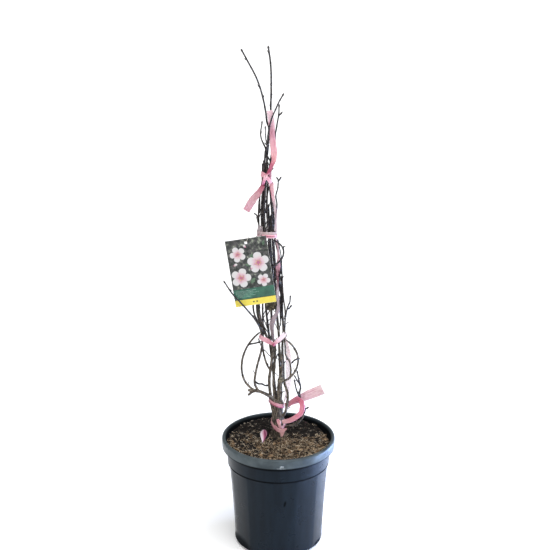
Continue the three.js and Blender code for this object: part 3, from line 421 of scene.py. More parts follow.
class Course:
    """A smooth line whose places are told by their share of its whole length."""

    DIVISIONS = 200
    NUDGE = 0.0001

    def __init__(self, line):
        self.line = line
        self.lengths = [0.0]
        last = line(0.0)
        for i in range(1, self.DIVISIONS + 1):
            place = line(i / self.DIVISIONS)
            self.lengths.append(self.lengths[-1] + (place - last).length)
            last = place
        self.length = self.lengths[-1]

    def _along(self, share):
        wanted = min(max(share, 0.0), 1.0) * self.length
        low = min(bisect_right(self.lengths, wanted), self.DIVISIONS) - 1
        span = self.lengths[low + 1] - self.lengths[low]
        return (low + (wanted - self.lengths[low]) / span) / self.DIVISIONS

    def point(self, share):
        return self.line(self._along(share))

    def heading(self, share):
        middle = self._along(share)
        before = self.line(max(middle - self.NUDGE, 0.0))
        after = self.line(min(middle + self.NUDGE, 1.0))
        return (after - before).normalized()


def smooth_line(points):
    """A centripetal spline through the points, as a function of 0 to 1."""
    points = [Vector(p) for p in points]
    last = len(points) - 1

    def line(t):
        low = min(int(last * t), last - 1)
        weight = last * t - low
        second, third = points[low], points[low + 1]
        first = points[low - 1] if low > 0 else 2 * second - third
        fourth = points[low + 2] if low + 2 <= last else 2 * third - second
        middle = (third - second).length ** 0.5 or 1.0
        before = (second - first).length ** 0.5 or middle
        after = (fourth - third).length ** 0.5 or middle
        leaving = (second - first) / before - (third - first) / (before + middle)
        leaving = (leaving + (third - second) / middle) * middle
        arriving = (third - second) / middle - (fourth - second) / (middle + after)
        arriving = (arriving + (fourth - third) / after) * middle
        rise = third - second
        return (second + leaving * weight + (3 * rise - 2 * leaving - arriving) * weight ** 2
                + (leaving + arriving - 2 * rise) * weight ** 3)

    return line


def bowed_line(start, pulls, end):
    """A cubic curve that leaves towards the first pull and arrives from the second."""
    a, b, c, d = (Vector(p) for p in (start, *pulls, end))

    def line(t):
        s = 1 - t
        return a * s ** 3 + b * (3 * s * s * t) + c * (3 * s * t * t) + d * t ** 3

    return line


def arched_line(start, end, rise):
    """A line between two points that rises in its middle."""
    start, end = Vector(start), Vector(end)
    return smooth_line([start, (start + end) / 2 + Vector((0, 0, rise)), end])


def stations(course, shares):
    """Places on a course, each with its heading and two square directions that turn little."""
    row = []
    across = None
    for share in shares:
        along = course.heading(share)
        if across is None:
            aside = Vector((1, 0, 0)) if abs(along.y) > 0.8 else Vector((0, 1, 0))
            across = aside.cross(along)
        across = (across - along * across.dot(along)).normalized()
        row.append(Station(share, course.point(share), along, across, along.cross(across)))
    return row


def stream(seed):
    """A repeatable stream of numbers from 0 to 1."""
    state = seed

    def draw():
        nonlocal state
        state = (state * 16807) % 2147483647
        return state / 2147483647

    return draw


def mix(low, high, share):
    return low + (high - low) * share


def smoothstep(value, low, high):
    share = min(max((value - low) / (high - low), 0.0), 1.0)
    return share * share * (3 - 2 * share)


def along_row(row, share):
    """A value read between the evenly spread ones of a row."""
    place = min(max(share, 0.0), 1.0) * (len(row) - 1)
    low = min(int(place), len(row) - 2)
    return mix(row[low], row[low + 1], place - low)


# ---------------------------------------------------------------- finishing pieces

def as_object(name, bm):
    """Turns a mesh in the making into an object in metres."""
    mesh = bpy.data.meshes.new(name)
    bm.to_mesh(mesh)
    bm.free()
    mesh.transform(Matrix.Scale(MM, 4))
    made = bpy.data.objects.new(name, mesh)
    bpy.context.scene.collection.objects.link(made)
    return made


def settle(made):
    """Applies an object's modifiers."""
    graph = bpy.context.evaluated_depsgraph_get()
    rough = made.data
    made.data = bpy.data.meshes.new_from_object(made.evaluated_get(graph))
    made.modifiers.clear()
    bpy.data.meshes.remove(rough)


def cut_away(made, tool):
    """Takes the tool's shape out of an object."""
    cutter = as_object("cutter", tool)
    cut = made.modifiers.new("cut", "BOOLEAN")
    cut.object = cutter
    cut.solver = "EXACT"
    settle(made)
    bpy.data.objects.remove(cutter)


def deliver(made, nodes=(), finishes=(), crease=None):
    """Gives a piece its materials, its shading and its place in the frame."""
    for finish in finishes:
        made.data.materials.append(finish)
    made.data.shade_smooth()
    if crease is not None:
        made.data.set_sharp_from_angle(angle=math.radians(crease))
    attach(made, "root")
    if nodes:
        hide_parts(*nodes)


def as_mesh(bm):
    """Turns a mesh in the making into a shape in millimetres, to strew or to join."""
    mesh = bpy.data.meshes.new("shape")
    bm.to_mesh(mesh)
    bm.free()
    return mesh


def strew(bm, shape, place):
    """Adds one copy of a shape to a mesh in the making."""
    copy = shape.copy()
    copy.transform(place)
    join(bm, copy)


def join(bm, mesh):
    """Takes a mesh up into a mesh in the making."""
    bm.from_mesh(mesh)
    bpy.data.meshes.remove(mesh)


def start_disc(bm, sides):
    """A disc to draw out: its face, and the layer that keeps the angle of each of its corners."""
    corner = bm.verts.layers.float.new("corner")
    disc = bmesh.ops.create_circle(bm, cap_ends=True, segments=sides, radius=1)["verts"]
    for vert in disc:
        vert[corner] = math.atan2(vert.co.y, vert.co.x)
    return disc[0].link_faces[0], corner


def draw_out(bm, face):
    """Extrudes the face at the end of a solid, and gives the new end."""
    made = bmesh.ops.extrude_face_region(bm, geom=[face])["geom"]
    return next(item for item in made if isinstance(item, bmesh.types.BMFace))


def add_bar(bm, radius, depth, place):
    """Adds a round bar, as a tool that cuts a hole."""
    bmesh.ops.create_cone(bm, cap_ends=True, segments=32, radius1=radius, radius2=radius,
                          depth=depth, matrix=place)


def facing(point, heading, width, length, roll=0.0):
    """The matrix that stands a unit shape on a point, with its +Z along a heading."""
    turn = heading.to_track_quat("Z", "Y").to_matrix().to_4x4() @ Matrix.Rotation(roll, 4, "Z")
    return Matrix.Translation(point) @ turn @ Matrix.Diagonal((width, width, length, 1))


def spun(profile, steps):
    """A solid of revolution about the Z axis from pairs of radius and height."""
    bm = bmesh.new()
    verts = [bm.verts.new((radius, 0, height)) for radius, height in profile]
    edges = [bm.edges.new(pair) for pair in zip(verts, verts[1:])]
    bmesh.ops.spin(bm, geom=verts + edges, cent=(0, 0, 0), axis=(0, 0, 1), angle=FULL_TURN,
                   steps=steps, use_merge=True)
    bmesh.ops.remove_doubles(bm, verts=bm.verts, dist=0.001)
    bmesh.ops.recalc_face_normals(bm, faces=bm.faces)
    return bm


# ---------------------------------------------------------------- pot

POT = {
    "height": 283, "rim": 139.9, "mouth": 131, "rim_depth": 25, "collar": 129, "step": 215,
    "step_depth": 2.5, "wall_top": 123.5, "wall_bottom": 110.5, "wall_bow": 1.35, "corner": 12,
    "foot": 101, "foot_width": 5, "floor_lift": 6, "floor": 2.5, "wall": 2, "ribs": 12,
    "rib_phase": math.radians(21), "flute": 1.5, "notch": 8, "holes": 6, "hole": 7,
    "hole_circle": 68, "notch_length": 24, "hole_depth": 20, "rib_width": 1.6, "steps": 288,
}


def pot_wall(z):
    rise = max(0.0, (z - POT["corner"]) / (POT["step"] - POT["corner"]))
    return mix(POT["wall_bottom"], POT["wall_top"], rise ** POT["wall_bow"])


def pot_collar(z):
    rise = (z - POT["step"]) / (POT["height"] - POT["rim_depth"] - POT["step"])
    return mix(POT["wall_top"] + POT["step_depth"], POT["collar"], rise)


def pot_inside(z):
    return (pot_collar(z) if z > POT["step"] else pot_wall(z)) - POT["wall"]


def bend(centre, radius, start, end, count):
    """Points round part of a circle in the profile, with its angles in degrees."""
    angles = [math.radians(mix(start, end, i / count)) for i in range(count + 1)]
    return [(centre[0] + radius * math.cos(a), centre[1] + radius * math.sin(a)) for a in angles]


def pot_profile():
    foot, lift, rim, top = POT["foot"], POT["floor_lift"], POT["rim"], POT["height"]
    skirt = top - POT["rim_depth"]
    inner_foot = foot - POT["foot_width"]
    skirt_inside = rim - POT["wall"] - 0.6
    shelf = top - 6
    wall = POT["wall"]
    row = [(0, lift), (inner_foot - 3.5, lift), (inner_foot - 2, lift - 0.8), (inner_foot, 0.6)]
    row += [(inner_foot + 0.7, 0), (foot - 1, 0), (foot + 0.6, 0.7), (foot + 5, 3.5)]
    row += [(foot + 7.6, 6.2), (foot + 9, 9.2)]
    row += [(pot_wall(z), z) for z in (12, 16, 24, 40, 60, 80, 100, 120, 140, 160, 180, 195, 205, 211)]
    row += [(pot_wall(213) - 0.3, 213), (pot_wall(214.2) - 0.6, 214.2)]
    row += [(pot_collar(215) - 0.15, 214.6), (pot_collar(215), 214.9), (pot_collar(216), 216)]
    row += [(pot_collar(z), z) for z in (222, 235, 248, skirt)]
    row += [(POT["mouth"] - 0.2, shelf), (skirt_inside - 1, shelf), (skirt_inside, shelf - 1)]
    row += [(skirt_inside - 0.3, skirt + 0.5)]
    row += bend((skirt_inside + 0.5, skirt + 0.8), 0.8, 180, 270, 3)
    row += bend((rim - 1.3, skirt + 0.8), 0.8, 270, 350, 3)
    row += [(rim - 0.2, top - 18), (rim, top - 12)]
    row += bend((rim - 5.2, top - 5.2), 5.2, 0, 90, 9)
    row += bend((POT["mouth"] + 2.6, top - 2.6), 2.6, 90, 180, 6)
    row += [(POT["mouth"] - 1.2, shelf - 1)]
    row += [(pot_collar(z) - wall, z) for z in (skirt, 240, POT["step"] + 4)]
    row += [(pot_wall(z) - wall - POT["flute"], z) for z in (POT["step"] - 4, 150, 80)]
    row += [(POT["wall_bottom"] - wall - POT["flute"], POT["corner"] + 4), (0, lift + POT["floor"])]
    return row


def make_pot(finish):
    bm = spun(pot_profile(), POT["steps"])
    for vert in bm.verts:
        radius = vert.co.xy.length
        outside = abs(radius - pot_wall(vert.co.z)) < 0.7
        if not (POT["corner"] - 0.1 < vert.co.z < POT["step"] and outside):
            continue
        angle = math.atan2(vert.co.x, -vert.co.y) - POT["rib_phase"]
        turn = (angle / FULL_TURN * POT["ribs"]) % 1
        rib = abs(2 * turn - 1) ** POT["rib_width"]
        ease = min(1, (POT["step"] - vert.co.z) / 4)
        vert.co.xy *= (radius - POT["flute"] * (1 - rib) * ease) / radius
    made = as_object("nursery_pot", bm)
    tool = bmesh.new()
    for i in range(POT["ribs"]):
        angle = POT["rib_phase"] + (i + 0.5) / POT["ribs"] * FULL_TURN
        lie = Matrix.Rotation(math.pi + angle, 4, "Z") @ Matrix.Translation((0, POT["foot"], 0))
        add_bar(tool, POT["notch"], POT["notch_length"], lie @ LAID_BACK)
    for i in range(POT["holes"]):
        angle = POT["rib_phase"] + i / POT["holes"] * FULL_TURN
        spot = (0, -POT["hole_circle"], POT["floor_lift"])
        lie = Matrix.Rotation(angle, 4, "Z") @ Matrix.Translation(spot)
        add_bar(tool, POT["hole"], POT["hole_depth"], lie)
    cut_away(made, tool)
    deliver(made, ["pot"], [finish], crease=38)


# ---------------------------------------------------------------- mulch

SOIL = {"wall_level": 266, "crown_level": 278, "crown_radius": 44, "roughness": 1.6, "steps": 160}


def mulch_height(x, y):
    out = smoothstep(math.hypot(x, y), SOIL["crown_radius"], pot_inside(SOIL["wall_level"]))
    fall = (SOIL["crown_level"] - SOIL["wall_level"]) * out
    lean = 2.2 * out * (y - x) / 180
    bumps = math.sin(x / 9 + 1.3 * math.cos(y / 14)) * math.cos(y / 11 - x / 23)
    banked = 5 * out * smoothstep(y, 20, 120)
    return SOIL["crown_level"] - fall + lean + banked + SOIL["roughness"] * bumps * min(1, 2.5 * out)


def make_bed(finish):
    """The settled compost under the loose litter."""
    def side(z):
        return pot_inside(z) - CLEARANCE - 0.5 - (0 if z > POT["step"] else POT["flute"])

    bottom = POT["floor_lift"] + POT["floor"] + CLEARANCE
    profile = [(0, bottom), (side(20) - 1, POT["corner"] + 4 + CLEARANCE)]
    profile += [(side(z) - 0.2, z) for z in (80, 150, POT["step"] - 5)]
    profile += [(side(POT["step"] + 5), POT["step"] + 5)]
    edge = side(POT["height"] - POT["rim_depth"])
    profile += [(edge * (1 - i / 48), SOIL["wall_level"]) for i in range(49)]
    bm = spun(profile, SOIL["steps"])
    for vert in bm.verts:
        if vert.co.z < SOIL["wall_level"] - 1:
            continue
        x, y = vert.co.xy
        crumb = 1.6 * noise.noise(Vector((x / 5, y / 5, 0))) + 0.8 * noise.noise(Vector((x / 2, y / 2, 5)))
        vert.co.z = mulch_height(x, y) - 1.2 + crumb
    deliver(as_object("compost_bed", bm), ["root_ball"], [finish])


def chip_shape(seed, width, depth):
    """A flake of bark about 1 long: a flattened ball with knocked-off corners."""
    bm = bmesh.new()
    bmesh.ops.create_icosphere(bm, subdivisions=1, radius=0.5)
    random = stream(seed)
    for vert in bm.verts:
        vert.co *= 0.72 + 0.5 * random()
        vert.co.y *= width
        vert.co.z *= depth
    return as_mesh(bm)


def fibre_shape(seed, thickness, curl):
    """A torn wood fibre about 1 long, four-sided and bent."""
    random = stream(seed)
    twist = random() * FULL_TURN
    bm = bmesh.new()
    disc = bmesh.ops.create_circle(bm, cap_ends=True, segments=4, radius=thickness / 2)
    face = disc["verts"][0].link_faces[0]
    bmesh.ops.translate(bm, verts=disc["verts"], vec=(0, 0, -0.5))
    for i in range(1, 5):
        face = draw_out(bm, face)
        share = i / 4
        sway = curl * math.sin(math.pi * share)
        shift = curl * (math.sin(math.pi * share) - math.sin(math.pi * (share - 0.25)))
        bmesh.ops.translate(bm, verts=face.verts,
                            vec=(shift * math.cos(twist), shift * math.sin(twist), 0.25))
        bmesh.ops.scale(bm, verts=face.verts, vec=(0.8 + 0.3 * sway,) * 3,
                        space=Matrix.Translation(-face.calc_center_median()))
    bmesh.ops.recalc_face_normals(bm, faces=bm.faces)
    bmesh.ops.rotate(bm, verts=bm.verts, matrix=Matrix.Rotation(math.pi / 2, 3, "Y"))
    return as_mesh(bm)


# Kinds of litter: how many lie on the bed, their shortest and longest length, and how pale the
# ground is where they lie, from 0 on the left and at the back to 1 at the front right. `fibre` is
# the share of fibres among the chips, `rise` is how far they lie above the ground, `shy` is how
# much rarer they are where it is dark, and then come their finish, its shades and its grain.
Litter = namedtuple("Litter", "count length fair fibre rise shy finish shades grain")
LITTER = {
    "peat_crumbs": Litter(2300, (2, 6), (0.0, 1.0), 0.1, 0, 0, "peat_crumb",
                          ["#070505", "#110e0c", "#241d18"], 1.5),
    "bark_chips": Litter(1300, (3, 9), (0.0, 1.0), 0.4, 0.2, 0, "bark_chip",
                         ["#0b0806", "#1f1814", "#42342a"], 1.6),
    "grey_chips": Litter(480, (3, 9), (0.0, 0.6), 0.6, 1, 0, "weathered_chip",
                         ["#2a2724", "#5d564d", "#a49a8c"], 1.8),
    "tan_fibres": Litter(1250, (5, 15), (0.42, 1.0), 0.92, 1, 0.5, "wood_fibre",
                         ["#30251d", "#69543f", "#ab9270"], 1.6),
    "straw_fibres": Litter(900, (6, 17), (0.06, 1.0), 1, 1.4, 0.9, "pale_fibre",
                           ["#6d5b48", "#b09c82", "#efe2cc"], 1.6),
}

# Patches of painted shade in the litter: where they are, how far they reach and how much they darken.
PAINTED_SHADE_PATCHES = ((62, 42, 48, 0.45), (-66, -74, 36, 0.6), (8, 52, 34, 0.2), (-24, 20, 30, 0.4))


def fairness(x, y):
    """How pale the litter is at a place: palest at the front, on the right, and darker in patches of
    painted shade.
    """
    fair = 0.5 + (0.3 * x - 1.15 * y) / 190 + 0.55 * noise.noise(Vector((x / 22, y / 22, 3)))
    for across, back, reach, depth in PAINTED_SHADE_PATCHES:
        fair -= depth * math.exp(-((x - across) ** 2 + (y - back) ** 2) / reach ** 2)
    return min(max(fair, 0.0), 1.0)


def make_litter():
    chips = [chip_shape(31 + i, 0.45 + 0.1 * i, 0.2 + 0.04 * i) for i in range(5)]
    fibres = [fibre_shape(41 + i, 0.08 + 0.012 * i, 0.06 + 0.06 * i) for i in range(5)]
    reach = pot_inside(SOIL["wall_level"]) - 4
    for number, (name, kind) in enumerate(LITTER.items()):
        random = stream(61 + number)
        bm = bmesh.new()
        laid = 0
        while laid < kind.count:
            radius = reach * math.sqrt(random())
            angle = FULL_TURN * random()
            x, y = radius * math.cos(angle), radius * math.sin(angle)
            lift, yaw, pitch, size, pick = (random() for _ in range(5))
            low, high = kind.fair
            in_trunk = math.hypot(x - 1, y - 12) < 20
            fair = fairness(x, y)
            if in_trunk or not low <= fair <= high or random() < kind.shy * (1 - fair):
                continue
            laid += 1
            length = mix(*kind.length, size ** 1.6)
            stringy = random() < kind.fibre
            shape = (fibres if stringy else chips)[int(pick * 5)]
            steep = 0.9 * min(1, 6 / length)
            tilt = Euler(((pitch - 0.5) * steep, (lift - 0.5) * steep, yaw * FULL_TURN))
            tilt = tilt.to_matrix().to_4x4()
            level = mulch_height(x, y) + 0.2 + kind.rise + 2.4 * lift * (1 - radius / reach * 0.3)
            grow = Matrix.Scale(length, 4)
            strew(bm, shape, Matrix.Translation((x, y, level)) @ tilt @ grow)
        finish = litter(kind.finish, kind.shades, kind.grain)
        deliver(as_object(name, bm), ["root_ball"], [finish], crease=50)
    for shape in chips + fibres:
        bpy.data.meshes.remove(shape)


# ---------------------------------------------------------------- limbs

# Heights that the stems are set out by. The upper three ties sit at middle, upper and top.
LEVEL = {
    "fork": 388, "knee": 430, "waist": 470, "saddle": 520, "middle": 556, "belly": 612,
    "label": 650, "flank": 690, "hip": 722, "shoulder": 760, "upper": 806, "neck": 872,
    "top": 946, "crest": 1000,
}

# Trunk sections: height, then the centre and the half widths across and in depth. The lowest is
# the trunk's foot.
TRUNK_SECTIONS = [
    (278.3, 1, 13, 22, 21), (283, 0.5, 12, 18.5, 18), (291, 0, 10, 16, 15.6),
    (303, -0.5, 8.5, 15.2, 14.8), (333, -1.5, 6, 14.4, 13.8), (350, -2.5, 5, 14.2, 13.6),
    (364, -4.5, 4, 16, 14), (374, -5, 4, 16.6, 14), (380, -5, 4, 13, 11),
]
ROOT_BUTTRESSES = 5

# Limbs, as the solids have them: a root inside the piece they grow on, or a share `at` of that
# limb, then the points `via`, `through` the named levels and `beyond`, or a `bow` on two pulls.
LIMBS = {
    "bough_left": dict(
        on="trunk", root=(-8, -2, 362), collar=27, foot=4.6, tip=3.3,
        via=[(-15.4, -5, 386.5), (-29, -7.5, 397), (-43, -8, 404), (-56, -7, 406.5), (-64, -7, 405)],
        stubs=[((-74, -8, 409), 2.7), ((-74, -7, 395), 2.2)],
    ),
    "stem_cut": dict(
        on="trunk", root=(1, 2, 362), collar=30, foot=5.8, tip=5,
        via=[(1.5, -1, 392), (2.5, -1.5, 415), (6, -1.5, 437), (6.5, -1, 466)],
        knob=(0.66, 2.2),
    ),
    "stem_front_left": dict(
        on="trunk", root=(-12, 5, 362), collar=22, foot=3.3, tip=1.9,
        through=dict(
            fork=(-19, 5), knee=(-22.5, 3), waist=(-18, -1), saddle=(-14.5, -6.5),
            middle=(-31, -9), belly=(-46, -10), flank=(-43.5, -9.5), upper=(-32.5, -9),
            neck=(-33.5, -7.5), top=(-28.5, -6), crest=(-26.5, 3),
        ),
    ),
    "stem_front": dict(
        on="trunk", root=(-7, 2, 362), collar=22, foot=2.9, tip=1.8,
        through=dict(
            fork=(-10, 1), knee=(-12, 2), waist=(-9.5, 1), saddle=(-8.5, -1.5),
            middle=(-15.5, -2), belly=(-17, -4), flank=(-19, -6), upper=(-23, -8),
            neck=(-27.5, -2), top=(-23, 1.5), crest=(-16, 8),
        ),
    ),
    "stem_back_left": dict(
        on="trunk", root=(-5, 9, 362), collar=22, foot=2.9, tip=1.7,
        through=dict(
            fork=(-7, 14), waist=(-15, 13), middle=(-24, 11.5), belly=(-30, 14),
            flank=(-33, 13), upper=(-36, 8.5), neck=(-37.5, 10), top=(-26.5, 7.3),
        ),
    ),
    "stem_back_right": dict(
        on="trunk", root=(3, 8, 362), collar=22, foot=2.8, tip=1.7,
        through=dict(
            fork=(7, 14), waist=(3, 13), middle=(0, 12), belly=(-6, 13),
            flank=(-13, 12), upper=(-20.5, 8), neck=(-23.5, 6),
        ),
    ),
    "stem_right": dict(
        on="trunk", root=(4, 1, 322), collar=26, foot=3, tip=2,
        via=[(16, -5, 345), (19.5, -8, 360), (22, -6, 378), (22.5, -3, 398), (14, 6, 424)],
        through=dict(
            waist=(12, 9), saddle=(9.5, 4.5), middle=(12, 3), belly=(8.5, 3),
            label=(7, 3), flank=(-1, 3.5), hip=(6.5, 5.5), shoulder=(-1, 4),
            upper=(-10.5, 2),
        ),
        beyond=(-9, 1, 832),
    ),
    "shoot_low_right": dict(
        on="trunk", root=(3, 7, 296), collar=20, foot=2.8, tip=2.3,
        via=[(26, -1, 309), (42, -4, 316), (56, -5, 328), (63, -4, 346)],
    ),
    "stem_left": dict(
        on="bough_left", at=0.81, collar=7, foot=2.5, tip=1.9,
        via=[(-58, -6, 425), (-57, -5, 443)],
        through=dict(
            waist=(-52, -4), saddle=(-40, -3), middle=(-40.5, -3), belly=(-51, -3),
            flank=(-50, -3), upper=(-40, -6), neck=(-39.5, -5), top=(-34.5, -3),
            crest=(-31, -5),
        ),
    ),
    "stem_left_inner": dict(
        on="stem_front_left", at=0.15, collar=8, foot=2, tip=1.5,
        via=[(-29, 3, 474)],
        through=dict(
            saddle=(-38.5, 4.5), middle=(-37, 6), belly=(-38, 5), flank=(-38, 5),
            upper=(-33.5, 1.5), neck=(-34.5, 2.5), top=(-31, 3),
        ),
        beyond=(-30, 3.5, 957),
    ),
    "stem_far_left": dict(
        on="stem_left", at=0.262, collar=10, foot=1.9, tip=1.4,
        via=[(-44.5, 2.2, 567), (-51, 4, 584)],
        through=dict(
            belly=(-60, 3.5), flank=(-57, 2.5), upper=(-46.5, 1), neck=(-46.5, 1),
            top=(-36.6, 3.3),
        ),
        beyond=(-36.5, 3.5, 954),
        side_shoot=(0.72, (-57, 0, 856), 1.1),
    ),
    "stem_middle": dict(
        on="stem_cut", at=0.76, collar=14, foot=2.4, tip=1.7,
        via=[(8, -9.6, 452), (9.3, -9.8, 470), (7.5, -8.5, 492)],
        through=dict(
            saddle=(2, -7), middle=(1, -5), belly=(-4, -3), flank=(-8, -2),
            upper=(-15, -5), neck=(-16, -4), top=(-19.5, -3), crest=(-10, 1),
        ),
    ),
    "loop_right_lower": dict(
        on="stem_cut", at=0.64, collar=10.5, foot=2.5, tip=2.1,
        pulls=[(40, -3, 432), (72, -4, 495)], end=(21.5, -5, 537), part=(0, 0.56),
    ),
    "loop_right_upper": dict(
        on="loop_right_lower", foot=2.1, tip=2, continues=True, part=(0.56, 1),
    ),
    "stem_far_right": dict(
        on="loop_right_lower", at=0.42, collar=6.5, foot=1.9, tip=1.3,
        via=[(30, -2, 463), (27, -3, 482), (18, -3, 498)],
        through=dict(
            saddle=(16, -3), middle=(15, -3), belly=(16, -4), label=(11.5, -3),
            flank=(9, -1),
        ),
        beyond=(6.8, 0, 733),
    ),
    "loop_left_lower": dict(
        on="bough_left", at=0.84, collar=15, foot=2.6, tip=2.3,
        pulls=[(-98, -1, 415), (-108, 4, 500)], end=(-48.2, 4, 553), part=(0, 0.52),
    ),
    "loop_left_upper": dict(
        on="loop_left_lower", foot=2.3, tip=1.9, continues=True, part=(0.52, 1),
    ),
    "loop_small": dict(
        on="stem_front", at=0.572, collar=5, foot=1.9, tip=1.6,
        pulls=[(10, -26, 740), (30, -18, 778)], end=(-12, -13.5, 794.5), part=(0, 1),
        side_shoot=(0.66, (13.5, -18, 781), 1),
    ),
}

# Masses of bare twigs: `lead` runs from the tip of limb `on`, or from a share `at` of its length,
# and `forks` are its main side twigs, each from a share of the lead via a point to its tip.
MASSES = {
    "twigs_top_left": dict(
        on="stem_front_left", foot=2.1, tip=1.5, room=9,
        lead=[(-25.9, 1.5, 1018), (-24, -1, 1042), (-22.5, -3, 1061), (-26.3, -3, 1072),
              (-29.2, -2.5, 1095), (-33, -3, 1117), (-40, -7, 1147), (-51, -11, 1179),
              (-65, -14, 1207), (-83, -18, 1241)],
    ),
    "twigs_top_middle": dict(
        on="stem_front", foot=2.1, tip=1.8, room=8,
        lead=[(-14, 10, 1040), (-18, 12, 1099), (-17, 13.5, 1145), (-18, 15.5, 1200),
              (-23.5, 17, 1242)],
    ),
    "twigs_top_right": dict(
        on="stem_left", foot=2, tip=1.2, room=8,
        lead=[(-25, -12, 1024), (-21, -15, 1066), (-15.5, -16, 1086), (-7, -15, 1106),
              (0, -14, 1122), (10, -14, 1140)],
        forks=[(0.08, (-41, 1, 1040), (-38, 7, 1072), 1.6)],
    ),
    "twigs_top_inner": dict(
        on="stem_middle", foot=1.9, tip=1.2, room=8,
        lead=[(-8, 2, 1040), (-3, 3, 1071), (0, 4, 1090), (1, 4, 1111)],
        forks=[(0.79, (3.5, 4, 1091), (6.5, 4, 1094), 1.3)],
    ),
    "twigs_upper_right": dict(
        on="stem_right", foot=1.9, tip=1.1, room=7,
        lead=[(-6.5, 1.5, 850), (-4, 2, 880), (-6.5, 2.5, 897), (-2, 4, 916), (0, 5, 933),
              (4.5, 6, 940)],
        forks=[(0.91, (-1.2, 4.8, 936), (-3.5, 4.5, 940), 1)],
    ),
    "twigs_label_left": dict(
        on="stem_front_left", at=0.318, collar=6.5, foot=2, tip=1.4, room=8,
        lead=[(-42, -17, 572), (-54, -20, 595), (-75, -25.5, 625), (-91, -28, 645),
              (-108, -30, 665), (-128, -31, 697)],
    ),
    "twigs_middle_right": dict(
        on="stem_far_right", at=0.545, collar=10.7, foot=1.7, tip=1.3, room=7,
        lead=[(22, -6, 624), (27, -9, 639), (28, -12, 653)],
        forks=[(0.25, (25, -3, 619), (30, 0, 625), 1.3)],
    ),
    "twigs_low_right": dict(
        on="shoot_low_right", foot=2.3, tip=1.4, room=11,
        lead=[(64, -4, 358), (57, -3, 375), (52, -2, 396), (54, -1, 415), (50, 0, 432),
              (46, 2, 453)],
        forks=[(0.02, (67, -4, 356), (72, -5, 360), 1.4),
               (0.36, (45, -4, 405), (39, -7, 434), 1.8),
               (0.68, (47, -3, 430), (40, -3, 443), 1.4)],
    ),
    "twigs_low_left": dict(
        on="stem_left", at=0.045, collar=7.6, foot=1.9, tip=1.6, room=6,
        lead=[(-48, -4.5, 424), (-40, -3, 423), (-33, -2, 418.5), (-27.5, -1, 418)],
    ),
    "twigs_loop_left": dict(
        on="loop_left_upper", at=0.62, collar=4.7, foot=1.6, tip=1.6, room=6,
        lead=[(-62, 2, 527), (-54, 1, 529), (-46, 0, 532)],
    ),
    "twigs_loop_right": dict(
        on="loop_right_upper", at=0.2, collar=5, foot=1.5, tip=1.5, room=6,
        lead=[(44, -5, 489), (39, -5.5, 487), (33.5, -6, 481)],
    ),
    "twigs_back_low": dict(
        on="stem_back_left", at=0.13, collar=8, foot=1.9, tip=1, room=15,
        lead=[(-15, 28, 456), (-16, 45, 476), (-18, 60, 506), (-17, 66, 545)],
        forks=[(0.4, (-10, 52, 500), (-12, 47, 530), 1.3)],
    ),
    "twigs_back_middle": dict(
        on="stem_back_right", at=0.66, collar=9, foot=1.8, tip=1, room=15,
        lead=[(-16, 24, 726), (-20, 38, 752), (-24, 50, 790), (-25, 54, 826)],
        forks=[(0.45, (-30, 38, 770), (-34, 34, 796), 1.2)],
    ),
    "twigs_back_top": dict(
        on="stem_back_left", foot=1.6, tip=1, room=9,
        lead=[(-27, 12, 975), (-24, 22, 1010), (-21, 32, 1050), (-22, 38, 1084)],
        forks=[(0.4, (-30, 26, 1030), (-31, 24, 1056), 1.1)],
    ),
}

FIRST_TWIG_SEED = 11
TWIG = {
    "internode": 24, "turn": math.radians(144), "bud_length": 6.5, "bud_radius": 1.45,
    "end_bud_length": 11, "spur_chance": 0.3, "spur_length": 9, "stem_bud_chance": 0.5,
    "margin": 1,
}

Limb = namedtuple("Limb", "course radius start")
Node = namedtuple("Node", "place heading swell")  # a bud's place along a limb, in millimetres

BARK = 0.3  # how much thicker the bark makes a limb than its solid
SHOOT_BARK = 0.9  # how much a stem's side shoot is thickened, so that it shows
RING_GAP = 0.2  # the least distance between a tube's rings

limbs = {}
bows = {}  # whole curves of the limbs that are parts of one bow
taken = []  # balls along every limb and twig, for keeping new twigs clear of them
shoots = []  # every bud and spur: its kind and its place, as a matrix


def taper(foot, tip, knob=None):
    """A radius that runs from foot to tip, with a swelling where a knob is: its share and size."""
    def radius(share):
        swell = knob[1] * math.exp(-(((share - knob[0]) / 0.07) ** 2)) if knob else 0
        return mix(foot, tip, share) + swell
    return radius


def occupy(owner, course, radius, start):
    count = math.ceil(course.length / 5)
    for i in range(count + 1):
        share = mix(start, 1, i / count)
        taken.append((owner, course.point(share), radius(share)))


def is_clear(owner, point, radius):
    return all(name == owner or (place - point).length > size + radius + TWIG["margin"]
               for name, place, size in taken)


def course_of(name, limb):
    """A limb's course, through its points or along its part of a bow."""
    if "part" in limb:
        if not limb.get("continues"):
            root = limbs[limb["on"]].course.point(limb["at"])
            bows[name] = bowed_line(root, limb["pulls"], limb["end"])
        whole = bows[limb["on"] if limb.get("continues") else name]
        low, high = limb["part"]
        return Course(lambda t: whole(mix(low, high, t)))
    points = [limb["root"] if "root" in limb else limbs[limb["on"]].course.point(limb["at"])]
    points += limb.get("via", [])
    points += [(x, y, LEVEL[level]) for level, (x, y) in limb.get("through", {}).items()]
    points += [limb["beyond"]] if "beyond" in limb else []
    return Course(smooth_line(points))


def lay_out_limbs():
    for name, limb in LIMBS.items():
        course = course_of(name, limb)
        radius = taper(limb["foot"] + BARK, limb["tip"] + BARK, limb.get("knob"))
        start = limb.get("collar", 0) / course.length + CLEARANCE / course.length
        limbs[name] = Limb(course, radius, start)
        occupy(name, course, radius, start)


